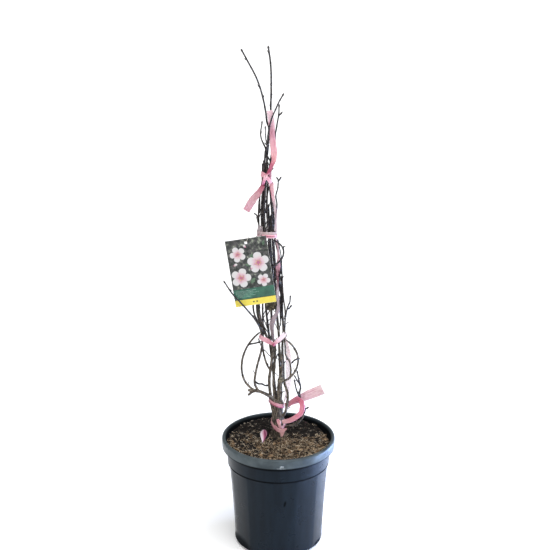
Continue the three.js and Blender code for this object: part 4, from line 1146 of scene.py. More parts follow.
def nodes_along(owner, limb, random, first, room=None, skip=()):
    """Deals buds, spurs and bare scars along a limb, each turned from the last, and gives its
    nodes. A bud that would leave its room or touch another limb leaves only its scar."""
    course, radius, _ = limb
    phase = random() * FULL_TURN
    fine = 40
    row = stations(course, [i / fine for i in range(fine + 1)])
    step = TWIG["internode"] / course.length
    nodes = []
    count = 0
    share = first
    while share < 1 - 0.4 * step:
        _, point, along, across, deep = row[int(share * fine + 0.5)]
        angle = phase + TWIG["turn"] * count
        spur = random() < TWIG["spur_chance"]
        size = (TWIG["spur_length"] if spur else TWIG["bud_length"]) * (0.8 + 0.4 * random())
        away = across * math.cos(angle) + deep * math.sin(angle)
        heading = (away + along * (0.9 if spur else 1.5)).normalized()
        tip = point + heading * (radius(share) + size)
        fits = room is None or (tip - point).length <= room
        wanted = room is not None or random() < TWIG["stem_bud_chance"]
        hidden = any(low < point.z < high for low, high in skip)
        nodes.append(Node(share * course.length, away, 1.0 if room else 0.6))
        if wanted and fits and not hidden and is_clear(owner, tip, TWIG["bud_radius"]):
            width = TWIG["bud_radius"] * (0.8 if spur else 1)
            foot = point + away * (0.45 * radius(share))
            heading = (tip - foot).normalized()
            kind = "spur" if spur else "bud"
            shoots.append((kind, facing(foot, heading, width, (tip - foot).length, angle)))
        count += 1
        share += step
    return nodes


# Extra rings of a tube: round a bud's place, in millimetres, and in its round end, in radii.
NODE_RINGS = (-1.3, -0.5, 0.1, 0.9, 2)
END_RINGS = (0.05, 0.3, 0.7)


def tube(bm, course, radius, start=0.0, end=1.0, sides=12, step=3.0, nodes=(), seed=0, flare=0.0,
         round_end=True, overrun=0.0):
    """Skins a limb in bark: a disc is extruded from station to station, with ridges, swellings at
    the nodes and scars round them. `grain` keeps each point's place as if the limb lay straight."""
    grain = bm.verts.layers.float_vector.new("grain")
    near, far = start * course.length, end * course.length
    count = max(2, round((far - near) / step))
    places = [mix(near, far, i / count) for i in range(count + 1)]
    for node in nodes:
        places += [node.place + shift for shift in NODE_RINGS]
    if round_end:
        places += [far - radius(end) * share for share in END_RINGS]
    places = sorted(place for place in places if near <= place <= far)
    kept = [places[0]]
    for place in places[1:]:
        if place - kept[-1] > RING_GAP:
            kept.append(place)
    row = stations(course, [place / course.length for place in kept])
    if overrun:
        last = row[-1]
        row.append(last._replace(point=last.point + last.along * overrun))
        kept.append(kept[-1] + overrun)

    face, corner = start_disc(bm, sides)
    for number, (place, station) in enumerate(zip(kept, row)):
        if number:
            face = draw_out(bm, face)
        size = radius(min(station.share, 1)) * (1 + flare * math.exp(-(place - near) / 3.5))
        if round_end:
            left = max(far + overrun - place, 0) / size
            size *= math.sqrt(max(1 - (1 - min(left, 1)) ** 2, 0.02))
        close = [node for node in nodes if abs(node.place - place) < 6]
        for vert in face.verts:
            angle = vert[corner]
            away = station.across * math.cos(angle) + station.deep * math.sin(angle)
            flow = Vector((math.cos(angle) * 1.3, math.sin(angle) * 1.3, place / 20 + seed * 7.3))
            lump = Vector((math.cos(angle) * 0.6, math.sin(angle) * 0.6, place / 6 + seed * 3.1))
            out = 1 + 0.09 * noise.noise(flow) + 0.07 * noise.noise(lump)
            for node in close:
                gap = place - node.place
                shelf = max(0.0, away.dot(node.heading)) ** 3 * math.exp(-((gap + 0.3) / 1.5) ** 2)
                scar = 0.07 * math.exp(-((gap - 0.1) / 0.45) ** 2)
                out += node.swell * (0.09 * math.exp(-((gap / 2.2) ** 2)) + 0.3 * shelf + scar)
            vert.co = station.point + away * (size * out)
            vert[grain] = Vector((size * math.cos(angle), size * math.sin(angle),
                                  place + 97 * seed)) * MM


def closed_tubes(plans):
    """One mesh of several tubes, each made by itself and with its faces turned out."""
    whole = bmesh.new()
    for plan in plans:
        bm = bmesh.new()
        tube(bm, **plan)
        bmesh.ops.recalc_face_normals(bm, faces=bm.faces)
        join(whole, as_mesh(bm))
    return whole


def make_trunk(finish):
    """The trunk with its root flare and the feet of its stems, fused and smoothed into one skin."""
    foot, high = TRUNK_SECTIONS[0][0], TRUNK_SECTIONS[-1][0]
    low = 274  # under the litter
    bm = bmesh.new()
    face, corner = start_disc(bm, 60)
    for z in range(low, high + 1, 2):
        if z > low:
            face = draw_out(bm, face)
        above = next((s for s in TRUNK_SECTIONS if s[0] >= z), TRUNK_SECTIONS[-1])
        below = TRUNK_SECTIONS[max(TRUNK_SECTIONS.index(above) - 1, 0)]
        share = 0 if above is below else (z - below[0]) / (above[0] - below[0])
        _, x, y, across, deep = (mix(a, b, share) for a, b in zip(below, above))
        flare = max(0.0, 1 - max(z - foot, 0) / 25)
        for vert in face.verts:
            angle = vert[corner]
            buttress = 1 + 0.13 * flare * math.cos(ROOT_BUTTRESSES * angle + 0.7)
            wander = 1 + 0.025 * math.sin(3 * angle + z / 20)
            out = buttress * wander
            vert.co = (x + across * out * math.cos(angle), y + deep * out * math.sin(angle), z)
    bmesh.ops.recalc_face_normals(bm, faces=bm.faces)
    core = as_mesh(bm)
    feet = []
    for name, limb in LIMBS.items():
        if limb["on"] == "trunk":
            course, radius, start = limbs[name]
            feet.append(dict(course=course, radius=radius, end=start + 1 / course.length, sides=20,
                             step=2, flare=0.35))
    bm = closed_tubes(feet)
    join(bm, core)
    made = as_object("trunk_bark", bm)
    skin = made.modifiers.new("skin", "REMESH")
    skin.mode = "VOXEL"
    skin.voxel_size = 0.9 * MM
    settle(made)

    bm = bmesh.new()
    bm.from_mesh(made.data)
    for _ in range(3):
        bmesh.ops.smooth_vert(bm, verts=bm.verts, factor=0.5, use_axis_x=True, use_axis_y=True,
                              use_axis_z=True)
    bm.normal_update()
    for vert in bm.verts:
        x, y, z = vert.co / MM
        ridges = noise.noise(Vector((x / 2.4, y / 2.4, z / 15)))
        lumps = noise.noise(Vector((x / 8, y / 8, z / 12)))
        vert.co += vert.normal * ((0.45 * ridges + 0.8 * lumps) * MM)
    bm.to_mesh(made.data)
    bm.free()
    deliver(made, ["trunk"], [finish])


# Where tape or the label hides a stem, and a bud would push through it.
TIED = ((297, 330), (360, 382), (528, 562), (796, 816), (928, 962))


def make_limbs(bark, cut_wood):
    carriers = {mass["on"] for mass in MASSES.values() if "at" not in mass}
    carriers |= {limb["on"] for limb in LIMBS.values() if limb.get("continues")}
    for number, (name, limb) in enumerate(LIMBS.items()):
        course, radius, start = limbs[name]
        nodes = []
        if limb["foot"] < 4:
            first = start + 10 / course.length
            nodes = nodes_along(name, limbs[name], stream(101 + number), first, skip=TIED)
        on_trunk = limb["on"] == "trunk"
        sides = 22 if limb["foot"] > 4 else 16 if limb["foot"] > 2.6 else 12
        plans = [dict(
            course=course, radius=radius, sides=sides, nodes=nodes, seed=number + 1,
            start=start - 2.5 / course.length if on_trunk else 0.0,
            flare=0.0 if on_trunk or limb.get("continues") else 0.7,
            round_end=name not in carriers and "knob" not in limb,
            overrun=1.5 if name in carriers else 0.0,
        )]
        for place, (tip, size) in enumerate(limb.get("stubs", [])):
            stub = Course(smooth_line([course.point(0.9), course.point(0.96), tip]))
            plans.append(dict(course=stub, radius=taper(size + 1.6, size * 1.25), sides=14,
                              seed=40 + place, round_end=False))
        if "side_shoot" in limb:
            at, tip, size = limb["side_shoot"]
            size += SHOOT_BARK
            shoot = Course(arched_line(course.point(at), tip, 3))
            plans.append(dict(course=shoot, radius=taper(size, size * 0.85), sides=8,
                              seed=50 + number))
            shoots.append(("bud", facing(shoot.point(0.9), shoot.heading(1), 1.2, 5)))
        deliver(as_object(name + "_bark", closed_tubes(plans)), [name], [bark])
        if name not in carriers and "knob" not in limb and "stubs" not in limb:
            tip = course.point(1)
            shoots.append(("bud", facing(tip - course.heading(1) * 2, course.heading(1), 1.7, 8)))

    cuts = bmesh.new()
    stem = limbs["stem_cut"].course
    ends = [(stem.point(1), stem.heading(1), 4.9)]
    bough = limbs["bough_left"].course
    for tip, size in LIMBS["bough_left"]["stubs"]:
        ends.append((Vector(tip), (Vector(tip) - bough.point(0.96)).normalized(), size * 0.82))
    for point, heading, size in ends:
        bmesh.ops.create_cone(cuts, cap_ends=True, segments=24, radius1=size, radius2=size * 0.9,
                              depth=0.6, matrix=facing(point + heading * 0.1, heading, 1, 1))
    deliver(as_object("sawn_ends", cuts), (), [cut_wood], crease=40)


# ---------------------------------------------------------------- twigs and buds

def grow_twigs(name, mass, seed, finish):
    """One mass of twigs: a lead and its forks, with buds and spurs dealt out along them."""
    random = stream(seed)
    parent = limbs[mass["on"]]
    from_side = "at" in mass
    root = parent.course.point(mass["at"] if from_side else 1)
    points = [root, *(Vector(p) for p in mass["lead"])]
    if not from_side:
        onward = parent.course.heading(1)
        points[0] = root + onward * CLEARANCE
        points.insert(1, points[0] + onward * 4)
    lead = Course(smooth_line(points))
    radius = taper(mass["foot"] + BARK, mass["tip"] + BARK)
    start = (mass["collar"] + CLEARANCE) / lead.length if from_side else 0.0
    twigs = [Limb(lead, radius, start)]
    for at, via, to, foot in mass.get("forks", []):
        fork = Course(smooth_line([lead.point(mix(start, 1, at)), via, to]))
        twigs.append(Limb(fork, taper(foot + BARK, mass["tip"] * 0.9 + BARK), 0.0))

    plans = []
    for number, twig in enumerate(twigs):
        first = twig.start + 0.6 * TWIG["internode"] / twig.course.length
        nodes = nodes_along(name, twig, random, first, room=mass["room"])
        plans.append(dict(course=twig.course, radius=twig.radius, sides=10, step=2.6, nodes=nodes,
                          seed=seed + 20 * number,
                          flare=0.7 if from_side or number else 0.0))
        end, heading = twig.course.point(1), twig.course.heading(1)
        foot = end - heading * (0.6 * TWIG["end_bud_length"])
        width = twig.radius(1) + 0.7
        shoots.append(("end_bud", facing(foot, heading, width, TWIG["end_bud_length"])))
    for twig in twigs:
        occupy(name, twig.course, twig.radius, twig.start)
    wood = as_object(name.replace("twigs_", "twig_wood_"), closed_tubes(plans))
    deliver(wood, [name], [finish])


# Side shoots and dead twigs that lie along and across the bundle, from stem to stem: both ends
# and the thickness.
CROSS_TWIGS = [
    ((-3, -4, 412.5), (-11.5, -3, 405.5), 0.9), ((17, -4, 405), (6.5, -3, 396.5), 1.1),
    ((-10, -1, 410), (-3.5, -3, 414.5), 0.9), ((-13, -4, 455), (-0.5, -5, 445), 1.1),
    ((1, -6, 507), (-5, -7, 493), 0.9), ((-5, -7, 493), (6, -4, 479), 0.9),
    ((-2, -8, 505), (-6, -4, 489.5), 0.9), ((-38, -3, 516), (-21, -3, 496), 1.3),
    ((-48.6, 0, 541), (-40.7, -5, 519), 1.5), ((-12, -5, 588), (-2, -4, 566), 1.1),
    ((-30, -7, 618), (-36, -7, 604), 1.2), ((-20, -6, 593), (-30, -7, 583), 1.2),
    ((-30, -6, 580.5), (-19, -5, 577.5), 1.1), ((-44, -6, 600), (-34, -4, 574), 1.2),
    ((-36, -8, 596), (-24, -6, 560), 1.3), ((12, 0, 655), (6, 0, 600), 1.5),
    ((-47, -13.2, 596), (-13.5, -13.4, 541), 1.5), ((-20, -6, 617), (-29, -8, 598), 1.6),
    ((2, -1, 650), (5, -2, 575), 1.5), ((9, 2, 620), (2, 3, 558), 1.4),
    ((-9, 3, 640), (-3, 4, 572), 1.5), ((-17, 4, 690), (-19, 2, 792), 1.7),
    ((-5, 2, 690), (-11, 1, 792), 1.6), ((3, 3, 675), (-2, 3, 752), 1.5),
    ((-12, 0, 815), (-12.5, 0, 882), 1.6), ((-24, 4, 815), (-14, 3, 862), 1.4),
    ((-36, -2, 815), (-42, -1, 868), 1.4), ((-44, 2, 815), (-52, 0, 848), 1.3),
    ((-50, 1, 836), (-38, 2, 862), 1.3), ((-24, 0, 832), (-16, -2, 858), 1.2),
    ((-40, 2, 880), (-30, 0, 900), 1.2), ((-28, 4, 850), (-19, 2, 884), 1.3),
    ((-14, -1, 824), (-21, 0, 915), 1.5), ((-30, -4, 858), (-25, 0, 926), 1.5),
    ((-30, 6, 880), (-19, 5, 930), 1.4), ((-36, -2, 900), (-28, -2, 925), 1.3),
    ((-33, 0, 956), (-25, 1, 992), 1.6), ((-24, 2, 958), (-30, -2, 1004), 1.6),
    ((-37, 0, 952), (-37.5, -2, 977), 2.0), ((-28, 0, 986), (-20, -4, 966), 1.3),
    ((-33, -1, 953), (-35.5, -2, 984), 1.6), ((-28.4, -3, 997), (-16.5, -6.5, 978), 1.9),
    ((-22, -2, 950), (-12, -5, 967), 1.7), ((-21, -2, 917), (-13.5, -5, 932.5), 1.8),
    ((-16.5, -3, 815), (-15, -4, 894), 1.9), ((-19.5, -4, 818), (-13.5, -5, 874), 1.7),
    ((-12, -3, 815), (-10.5, -3, 862), 1.6), ((-44, -4, 858), (-43.5, -5, 900), 1.5),
    ((-30, -3, 815), (-22, -4, 846), 1.5), ((-34, 2, 815), (-27, 1, 838), 1.4),
    ((-43, 0, 823), (-30, -2, 834), 1.5), ((5, 1, 700), (9.5, 0, 640), 2.0),
    ((6, -3, 690), (4.5, -2, 600), 1.8), ((10, 0, 668), (10, -2, 604), 1.8),
    ((-1, -5, 790), (8, -6, 742), 1.4), ((8, -6, 742), (3.5, -8, 700), 1.2),
    ((-2, 0, 792), (2, 2, 768), 1.6), ((-24, 2, 786), (-22, 2, 700), 1.7),
    ((-14, 4, 790), (-9, 4, 690), 1.7), ((-26, -6, 636), (-30, -7, 604), 1.1),
]


def make_cross_twigs(finish):
    plans = []
    for number, (start, end, size) in enumerate(CROSS_TWIGS):
        plans.append(dict(course=Course(arched_line(start, end, 1.5)), sides=8, step=2.2,
                          radius=taper(size, size * 0.8), seed=70 + number))
    deliver(as_object("cross_twigs", closed_tubes(plans)), (), [finish])


# A bud, a longer end bud and a ringed spur, all 1 long and about 1 in radius: share and radius.
BUD_PROFILE = [(0, 0.5), (0.1, 0.8), (0.3, 1), (0.55, 0.86), (0.8, 0.46), (0.95, 0.16), (1, 0.04)]
END_BUD_PROFILE = [(0, 0.7), (0.3, 0.78), (0.42, 0.98), (0.6, 1), (0.8, 0.62), (0.94, 0.24), (1, 0.05)]
SPUR_PROFILE = [(0, 1.1), (0.1, 0.7), (0.22, 0.85), (0.27, 0.62), (0.4, 0.82), (0.45, 0.6),
                (0.6, 0.62), (0.72, 1.0), (0.88, 0.62), (1, 0.06)]


def bud_shape(profile, lean):
    bm = bmesh.new()
    face, corner = start_disc(bm, 7)
    for number, (share, size) in enumerate(profile):
        if number:
            face = draw_out(bm, face)
        for vert in face.verts:
            angle = vert[corner]
            bulge = size * (1 + 0.08 * math.cos(3 * angle))
            vert.co = (bulge * math.cos(angle) + lean * share ** 2, bulge * math.sin(angle), share)
    bmesh.ops.recalc_face_normals(bm, faces=bm.faces)
    return as_mesh(bm)


def make_buds(finish):
    shapes = {
        "bud": bud_shape(BUD_PROFILE, 0.25),
        "end_bud": bud_shape(END_BUD_PROFILE, 0.15),
        "spur": bud_shape(SPUR_PROFILE, 0.3),
    }
    bm = bmesh.new()
    for kind, place in shoots:
        strew(bm, shapes[kind], place)
    deliver(as_object("winter_buds", bm), (), [finish], crease=60)
    for shape in shapes.values():
        bpy.data.meshes.remove(shape)


# ---------------------------------------------------------------- tape

TAPE = {"width": 26, "thickness": 0.28, "pleat": 0.75, "crush": 0.6, "step": 2.2,
        "wound_step": 1.8}


def film(across, along, place_at):
    """A grid of tape. place_at takes how far across (-1 to 1) and along (0 to 1) a point is, and
    gives its place and where it lies on the flat tape."""
    bm = bmesh.new()
    lie = bm.verts.layers.float_vector.new("lie")
    bmesh.ops.create_grid(bm, x_segments=across, y_segments=along, size=1)
    for vert in bm.verts:
        vert.co, vert[lie] = place_at(vert.co.x, (vert.co.y + 1) / 2)
    bmesh.ops.recalc_face_normals(bm, faces=bm.faces)
    return bm


def pleats(side, run, width, seed):
    """How far bunched tape stands off its own middle, from its true width and the width it shows."""
    spare = math.sqrt(max(1 - (min(width, TAPE["width"]) / TAPE["width"]) ** 2, 0))
    folds = 1.2 + 2.4 * spare
    wave = math.sin(side * folds * math.pi + 2.2 * noise.noise(Vector((run / 30, seed, 0))) * 3)
    crush = noise.noise(Vector((side * 1.5, run / 9, seed * 3.7)))
    return TAPE["pleat"] * spare * wave + TAPE["crush"] * crush


def deliver_film(node, meshes, finishes):
    """Joins lengths of tape, each with its own finish or all with one, and gives them their
    thickness."""
    whole = bmesh.new()
    for number, bm in enumerate(meshes):
        for face in bm.faces:
            face.material_index = min(number, len(finishes) - 1)
        join(whole, as_mesh(bm))
    made = as_object(node + "_film", whole)
    skin = made.modifiers.new("film", "SOLIDIFY")
    skin.thickness = TAPE["thickness"] * MM
    skin.offset = 0
    deliver(made, [node], finishes)


def ribbon(path, widths, facings, seed, across=10):
    """A free length of tape along a path, with the widths it shows and the way its width runs."""
    course = Course(smooth_line(path))
    count = max(4, round(course.length / TAPE["step"]))
    row = stations(course, [i / count for i in range(count + 1)])
    facings = [Vector(f) for f in facings]

    def place_at(side, share):
        station = row[min(int(share * count + 0.5), count)]
        width = along_row(widths, station.share)
        wide = along_row(facings, station.share)
        wide = (wide - station.along * wide.dot(station.along)).normalized()
        through = station.along.cross(wide)
        run = station.share * course.length
        flutter = 0.6 * noise.noise(Vector((run / 14, side, seed)))
        place = (station.point + wide * (side * width / 2 + flutter)
                 + through * pleats(side, run, width, seed))
        return place, (side * TAPE["width"] / 2 * MM, run * MM, station.share)

    return film(across, count, place_at)


def crossings(z):
    """The stems that pass a height, as centre and radius. The bows and the low shoot stand apart."""
    found = []
    steps = 80
    for name, limb in limbs.items():
        if name.startswith("loop_") or name == "shoot_low_right":
            continue
        for i in range(steps):
            a, b = limb.course.point(i / steps), limb.course.point((i + 1) / steps)
            if (a.z - z) * (b.z - z) <= 0 and a.z != b.z:
                share = (z - a.z) / (b.z - a.z)
                found.append((a.lerp(b, share).xy, limb.radius((i + share) / steps)))
                break
    return found


def wound(name, seed, width, turns, layer=0.0, shift=0.0, start=90, drift=1.0):
    """A length of tape wound round the bundle where a tie sits, a little further out and along with
    each turn, that shows that much of its width."""
    tie = TIES[name]
    samples = 96
    loop = []  # places round the bundle, seen from above, each with the way out from the middle
    for i in range(samples):
        angle = FULL_TURN * i / samples
        out = Vector((math.cos(angle), math.sin(angle)))
        a, b = tie["across"], tie["deep"]
        size = math.hypot(a * out.x, b * out.y)
        oval = Vector((tie["x"] + a * a * out.x / size, tie["y"] + b * b * out.y / size))
        z = tie["height"](angle)
        stems = crossings(z) if tie.get("taut") else []
        if stems:
            centre, size = max(stems, key=lambda stem: stem[0].dot(out) + stem[1])
            oval = centre + out * (size + 0.5)
        loop.append((oval, out))
    lengths = [0.0]
    for (a, _), (b, _) in zip(loop, loop[1:] + loop[:1]):
        lengths.append(lengths[-1] + (b - a).length)
    round_length = lengths[-1]
    count = round(round_length * turns / TAPE["wound_step"])
    begin = start / 360

    def place_at(side, share):
        turn = begin + share * turns
        wanted = (turn % 1) * round_length
        low = min(bisect_right(lengths, wanted) - 1, samples - 1)
        span = (lengths[low + 1] - lengths[low]) or 1
        part = (wanted - lengths[low]) / span
        (a, out_a), (b, out_b) = loop[low], loop[(low + 1) % samples]
        flat = a.lerp(b, part)
        out = out_a.lerp(out_b, part).normalized()
        angle = math.atan2(out.y, out.x)
        run = share * turns * round_length
        depth = layer + 0.4 * turn + 0.35 * pleats(side, run, width, seed)
        stray = 1.3 * math.sin(turn * 2.1 + seed)
        stray += 0.8 * noise.noise(Vector((flat.x / 12, flat.y / 12, seed + turn)))
        z = tie["height"](angle) + shift + drift * stray + side * width / 2
        place = Vector((*(flat + out * (depth + 0.4)), z))
        return place, (side * TAPE["width"] / 2 * MM, run * MM, share)

    return film(8, count, place_at)


def knot(centre, reach, seed, tilt=0.0):
    """A pulled knot: a small ball of tape, folded in towards its ends."""
    bm = bmesh.new()
    lie = bm.verts.layers.float_vector.new("lie")
    bmesh.ops.create_icosphere(bm, subdivisions=4, radius=1)
    turn = Matrix.Rotation(tilt, 3, "Y")
    for vert in bm.verts:
        angle = math.atan2(vert.co.y, vert.co.z)
        fold = 0.13 * math.sin(5 * angle + 3 * vert.co.x + seed) * (1 - abs(vert.co.x))
        crush = 0.16 * noise.noise(vert.co * 2.1 + Vector((seed, 0, 0)))
        size = 1 + fold + crush - 0.25 * abs(vert.co.x)
        vert[lie] = (angle * reach[2] * MM, vert.co.x * reach[0] * MM, 0.5)
        scaled = Vector(r * c * size for r, c in zip(reach, vert.co))
        vert.co = Vector(centre) + turn @ scaled
    return bm


def front(angle):
    """One at the front of a ring of tape, nought from its sides round the back."""
    return max(0.0, -math.sin(angle))


# Each tie's oval, and its height all round. The taut one follows the outermost stems instead.
TIES = {
    "tie_top": dict(
        x=-27.5, y=1, across=13.6, deep=11.6, taut=True,
        height=lambda angle: 944 + 2.5 * math.cos(angle),
    ),
    "tie_upper": dict(
        x=-27.3, y=-0.5, across=22.4, deep=13.6,
        height=lambda angle: 806 - 1.5 * math.cos(angle),
    ),
    "tie_middle": dict(
        x=-11.7, y=0, across=32.9, deep=16.5,
        height=lambda angle: (530.5 + 25.5 * abs(math.cos(angle)) + 2 * math.cos(angle)
                              - 12.5 * max(0.0, math.sin(angle))),
    ),
    "tie_lower": dict(
        x=-5, y=4, across=18.4, deep=16.2,
        height=lambda angle: 370.5 - 8.5 * math.cos(angle),
    ),
    "wrap_foot": dict(
        x=-0.5, y=8, across=16.8, deep=16.2,
        height=lambda angle: 318.5 - 2.5 * math.cos(angle) - 15.5 * front(angle) ** 2,
    ),
}

UPRIGHT = (0, 0, 1)
SIDEWAYS = (1, 0, 0)

# Free lengths of tape: a path, the widths that it shows, the ways its width runs, a seed, and then
# its film's dyes and how solid that is.
Strip = namedtuple("Strip", "path widths facings seed dyes alpha across", defaults=[10])
STRIPS = {
    "strip_top": Strip(
        [(-25, -14.6, 955), (-17.5, -12.8, 971), (-11, -11.2, 988), (-11, -10.8, 1005),
         (-14, -11.2, 1035), (-16, -11.5, 1070), (-20.5, -12, 1103)],
        [7, 9, 15, 14, 13, 14, 13.5], [SIDEWAYS, SIDEWAYS], 16,
        ["#b85474", "#c96f88", "#eca7ae", "#f1bbbf", "#e9b2bb", "#dfa5b3", "#cf94a7", "#ebc3ce",
         "#f5d9e1", "#f5d9e1"], 0.86),
    "tail_top": Strip(
        [(-35.5, -9.2, 926.8), (-45, -14, 912), (-60, -17, 893), (-75.5, -16, 867)],
        [8, 16, 18, 17], [(1, 0, 0.3), (0.8, 0, 0.7), (0.8, 0, 0.6)], 17,
        ["#b95f76", "#cb929e", "#cfa6ad", "#d0a3ac", "#cf95a2"], 0.85),
    "run_upper": Strip(
        [(-17, -7.6, 931), (-13.4, -9.5, 902), (-8.5, -9.5, 872), (-6.5, -9.5, 850),
         (-7.2, -9.4, 815.3)], [11, 7, 6, 4.5, 7], [SIDEWAYS, SIDEWAYS], 18,
        ["#e9a3b0", "#e3a9b7", "#cdb0b9", "#d3c4ca", "#dccfd4"], 0.6),
    "run_middle": Strip(
        [(-6, -10.8, 796.4), (-1, -11, 770), (0, -11, 757), (-2.5, -12, 697), (-2, -12, 660),
         (-1.7, -12, 617), (-10.8, -13, 599), (-15.8, -14, 582), (-14, -16, 560),
         (-12, -16.8, 540.5)],
        [4, 4.5, 6, 11, 4, 6, 7, 7, 9, 13, 8, 5], [SIDEWAYS, SIDEWAYS], 19,
        ["#dcc4ca", "#e6ccd3", "#dfb7c2", "#c98fa0", "#70303f", "#c4b7bd", "#b3a7ad", "#ab9ea5",
         "#98898f", "#8d8085", "#877b7e", "#7c7173"], 0.72),
    "run_lower": Strip(
        [(16.8, 8.3, 539.5), (23, 11, 500), (25, 11, 440), (22, 10.5, 400), (14.4, 9.8, 369.6)],
        [6, 14, 15, 14, 4], [(1, -0.5, 0), (1, 0.3, 0)], 20,
        ["#c87a8d", "#d590a2", "#f0d6dc", "#f3e0e4", "#efd6dc", "#e3b0bd"], 0.38),
    "tail_lower": Strip(
        [(15.6, 9, 361.5), (22, 9.5, 362.5), (42, 10.5, 372), (72, 9, 387), (109, 6, 404.5)],
        [9, 19, 25, 26], [UPRIGHT, (-0.15, 0.1, 1)], 21,
        ["#bf6a7e", "#d6949f", "#e4b9bf", "#e7c3c7", "#e2bfc1", "#d9c6c4"], 0.85, across=14),
    "loop_lower": Strip(
        [(16, 1, 361), (21, 1, 362), (33, -2, 374), (46, -8, 384), (56, -18, 381), (58, -20, 367),
         (54, -22, 353), (43, -23, 343), (29, -21, 334), (9.5, -15.8, 325.5)],
        [10, 12, 13, 13, 11],
        [UPRIGHT, UPRIGHT, (0.3, 0, 1), (1, 0, 0.2), (1, 0, -0.3), (0.5, 0, -1), (0, 0, -1),
         (0, 0, -1)], 22,
        ["#dba3ab", "#d690a0", "#c2677e", "#dc8c9c", "#e6a3ac", "#edbcc0"], 0.95, across=12),
    "end_foot": Strip(
        [(9, -9.7, 299), (8.5, -12.5, 293), (7, -14.5, 285.5)], [14, 9, 3],
        [(1, 0.3, 0), SIDEWAYS], 25, ["#dfa9a6", "#e3bab4"], 0.9),
}


def make_ties():
    """Each tie in its folds, from the one that lies underneath to the one on top."""
    pale = flagging_film("pale", ["#efd3da", "#e8c2cc"], 0.7)
    rose = flagging_film("rose", ["#d98ba0", "#dc9bad"], 0.8)
    deep = flagging_film("deep", ["#a94868", "#c66c87"], 0.92)
    clear = flagging_film("clear", ["#cdbdb9", "#d0bdbf"], 0.72)
    white = flagging_film("white", ["#e3a4b4", "#f4e2e6", "#faf3f4"], 0.93)
    bright = flagging_film("bright", ["#f0a9b9", "#f5c3cd"], 0.95)
    dusty = flagging_film("dusty", ["#cf93a2", "#d3a3ae", "#c98b9b"], 0.62)
    # The deep ends of this length are painted shade, and its pale middle, where it crosses the top knot,
    # is a painted highlight.
    turned = flagging_film("turned", ["#b04a6c", "#c9688a", "#fbe0e4", "#dd8ca0", "#b25877"], 0.96)
    veil = flagging_film("veil", ["#cbbfc1", "#b5aaac", "#9d9496"], 0.5)
    left = flagging_film("left", ["#efc3cb", "#e5b0bb", "#d28b9c"], 0.92)
    low = flagging_film("low", ["#dba6ae", "#d69aa3"], 0.84)
    wrap = flagging_film("wrap", ["#e8b7b8", "#ecc2c0"], 0.92)
    foot = flagging_film("foot", ["#d7929f", "#e1b0b0", "#dfa9a6"], 0.94)

    deliver_film("tie_top", [
        wound("tie_top", 1, 24, turns=0.72, start=-40),
        ribbon([(-41, -2, 951), (-38, -9, 953), (-31, -14.5, 950), (-23, -13.5, 941), (-17.5, -9, 931)],
               [14, 11, 9, 8, 9], [(0.3, 0, 1), (0.6, 0, 1), (1, 0, 0.8)], 2),
        knot((-30, -14.5, 949.5), (4.6, 3.6, 6), 4, 0.6),
        ribbon([(-18, -9.6, 964), (-23, -14.5, 958), (-30, -18, 949), (-34, -16, 938), (-36, -10.5, 928)],
               [8, 8.5, 8, 8, 8.5], [(1, 0, 0.7), (1, 0, 0.9)], 5),
    ], [dusty, bright, rose, turned])
    deliver_film("tie_upper", [
        wound("tie_upper", 6, 8, turns=1.4, shift=3.2),
        wound("tie_upper", 7, 5, layer=0.8, turns=1.2, shift=-5),
        wound("tie_upper", 8, 6.5, layer=0.9, turns=0.42, shift=-1.2, start=235),
        wound("tie_upper", 26, 1.6, layer=1.5, turns=0.2, shift=-2.6, start=255),
        ribbon([(-43.5, -9.5, 813.6), (-43.2, -10.8, 821), (-42.4, -11.4, 829.5)], [13, 13, 11],
               [(1, -0.35, 0.1), (1, -0.35, -0.15)], 29),
    ], [clear, pale, bright, deep, veil])
    deliver_film("tie_middle", [
        ribbon([(-46, -3, 551), (-41, -10.5, 547.5), (-27, -15, 541), (-12, -17.5, 533)],
               [9, 12, 12, 7], [(0.3, 0, 1), (0.5, 0, 1)], 9),
        ribbon([(-12, -17.5, 533), (0, -15, 542.5), (11, -9.5, 551.5), (18, -2, 558)],
               [7, 10.5, 11, 9], [(-0.6, 0, 1), (-0.6, 0, 1)], 10),
        wound("tie_middle", 27, 5, turns=0.54, start=-4, drift=0.4),
        knot((-11.3, -18.2, 532), (4, 2.4, 4), 11),
    ], [left, white, clear, deep])
    deliver_film("tie_lower", [
        wound("tie_lower", 12, 10, turns=1.2, drift=0.5),
        wound("tie_lower", 13, 3, layer=0.7, turns=0.45, shift=-3.2, start=190, drift=0.5),
    ], [low, deep])
    deliver_film("wrap_foot", [
        wound("wrap_foot", 14, 9, turns=1.2, drift=0.5),
        wound("wrap_foot", 15, 3, layer=0.8, turns=0.5, shift=-3.5, start=185, drift=0.5),
    ], [wrap, rose])
    deliver_film("knot_foot", [
        knot((2.8, -13.2, 321), (4.4, 3.8, 9.5), 23, 0.1),
        ribbon([(-2, -11, 332), (1, -15.5, 323), (5, -16, 313), (9, -13, 306)], [6, 8, 7, 6],
               [(1, 0, 0.4), (1, 0, 0.4)], 24),
        ribbon([(-9, -12, 314), (0, -17, 305), (10, -17, 304), (21, -12, 307)], [6, 9, 9, 3],
               [(0.1, 0, 1), (-0.1, 0, 1)], 28),
    ], [foot])


def make_strips():
    for node, strip in STRIPS.items():
        length = ribbon(strip.path, strip.widths, strip.facings, strip.seed, strip.across)
        deliver_film(node, [length], [flagging_film(node, strip.dyes, strip.alpha)])


# ---------------------------------------------------------------- label, petal and leaf

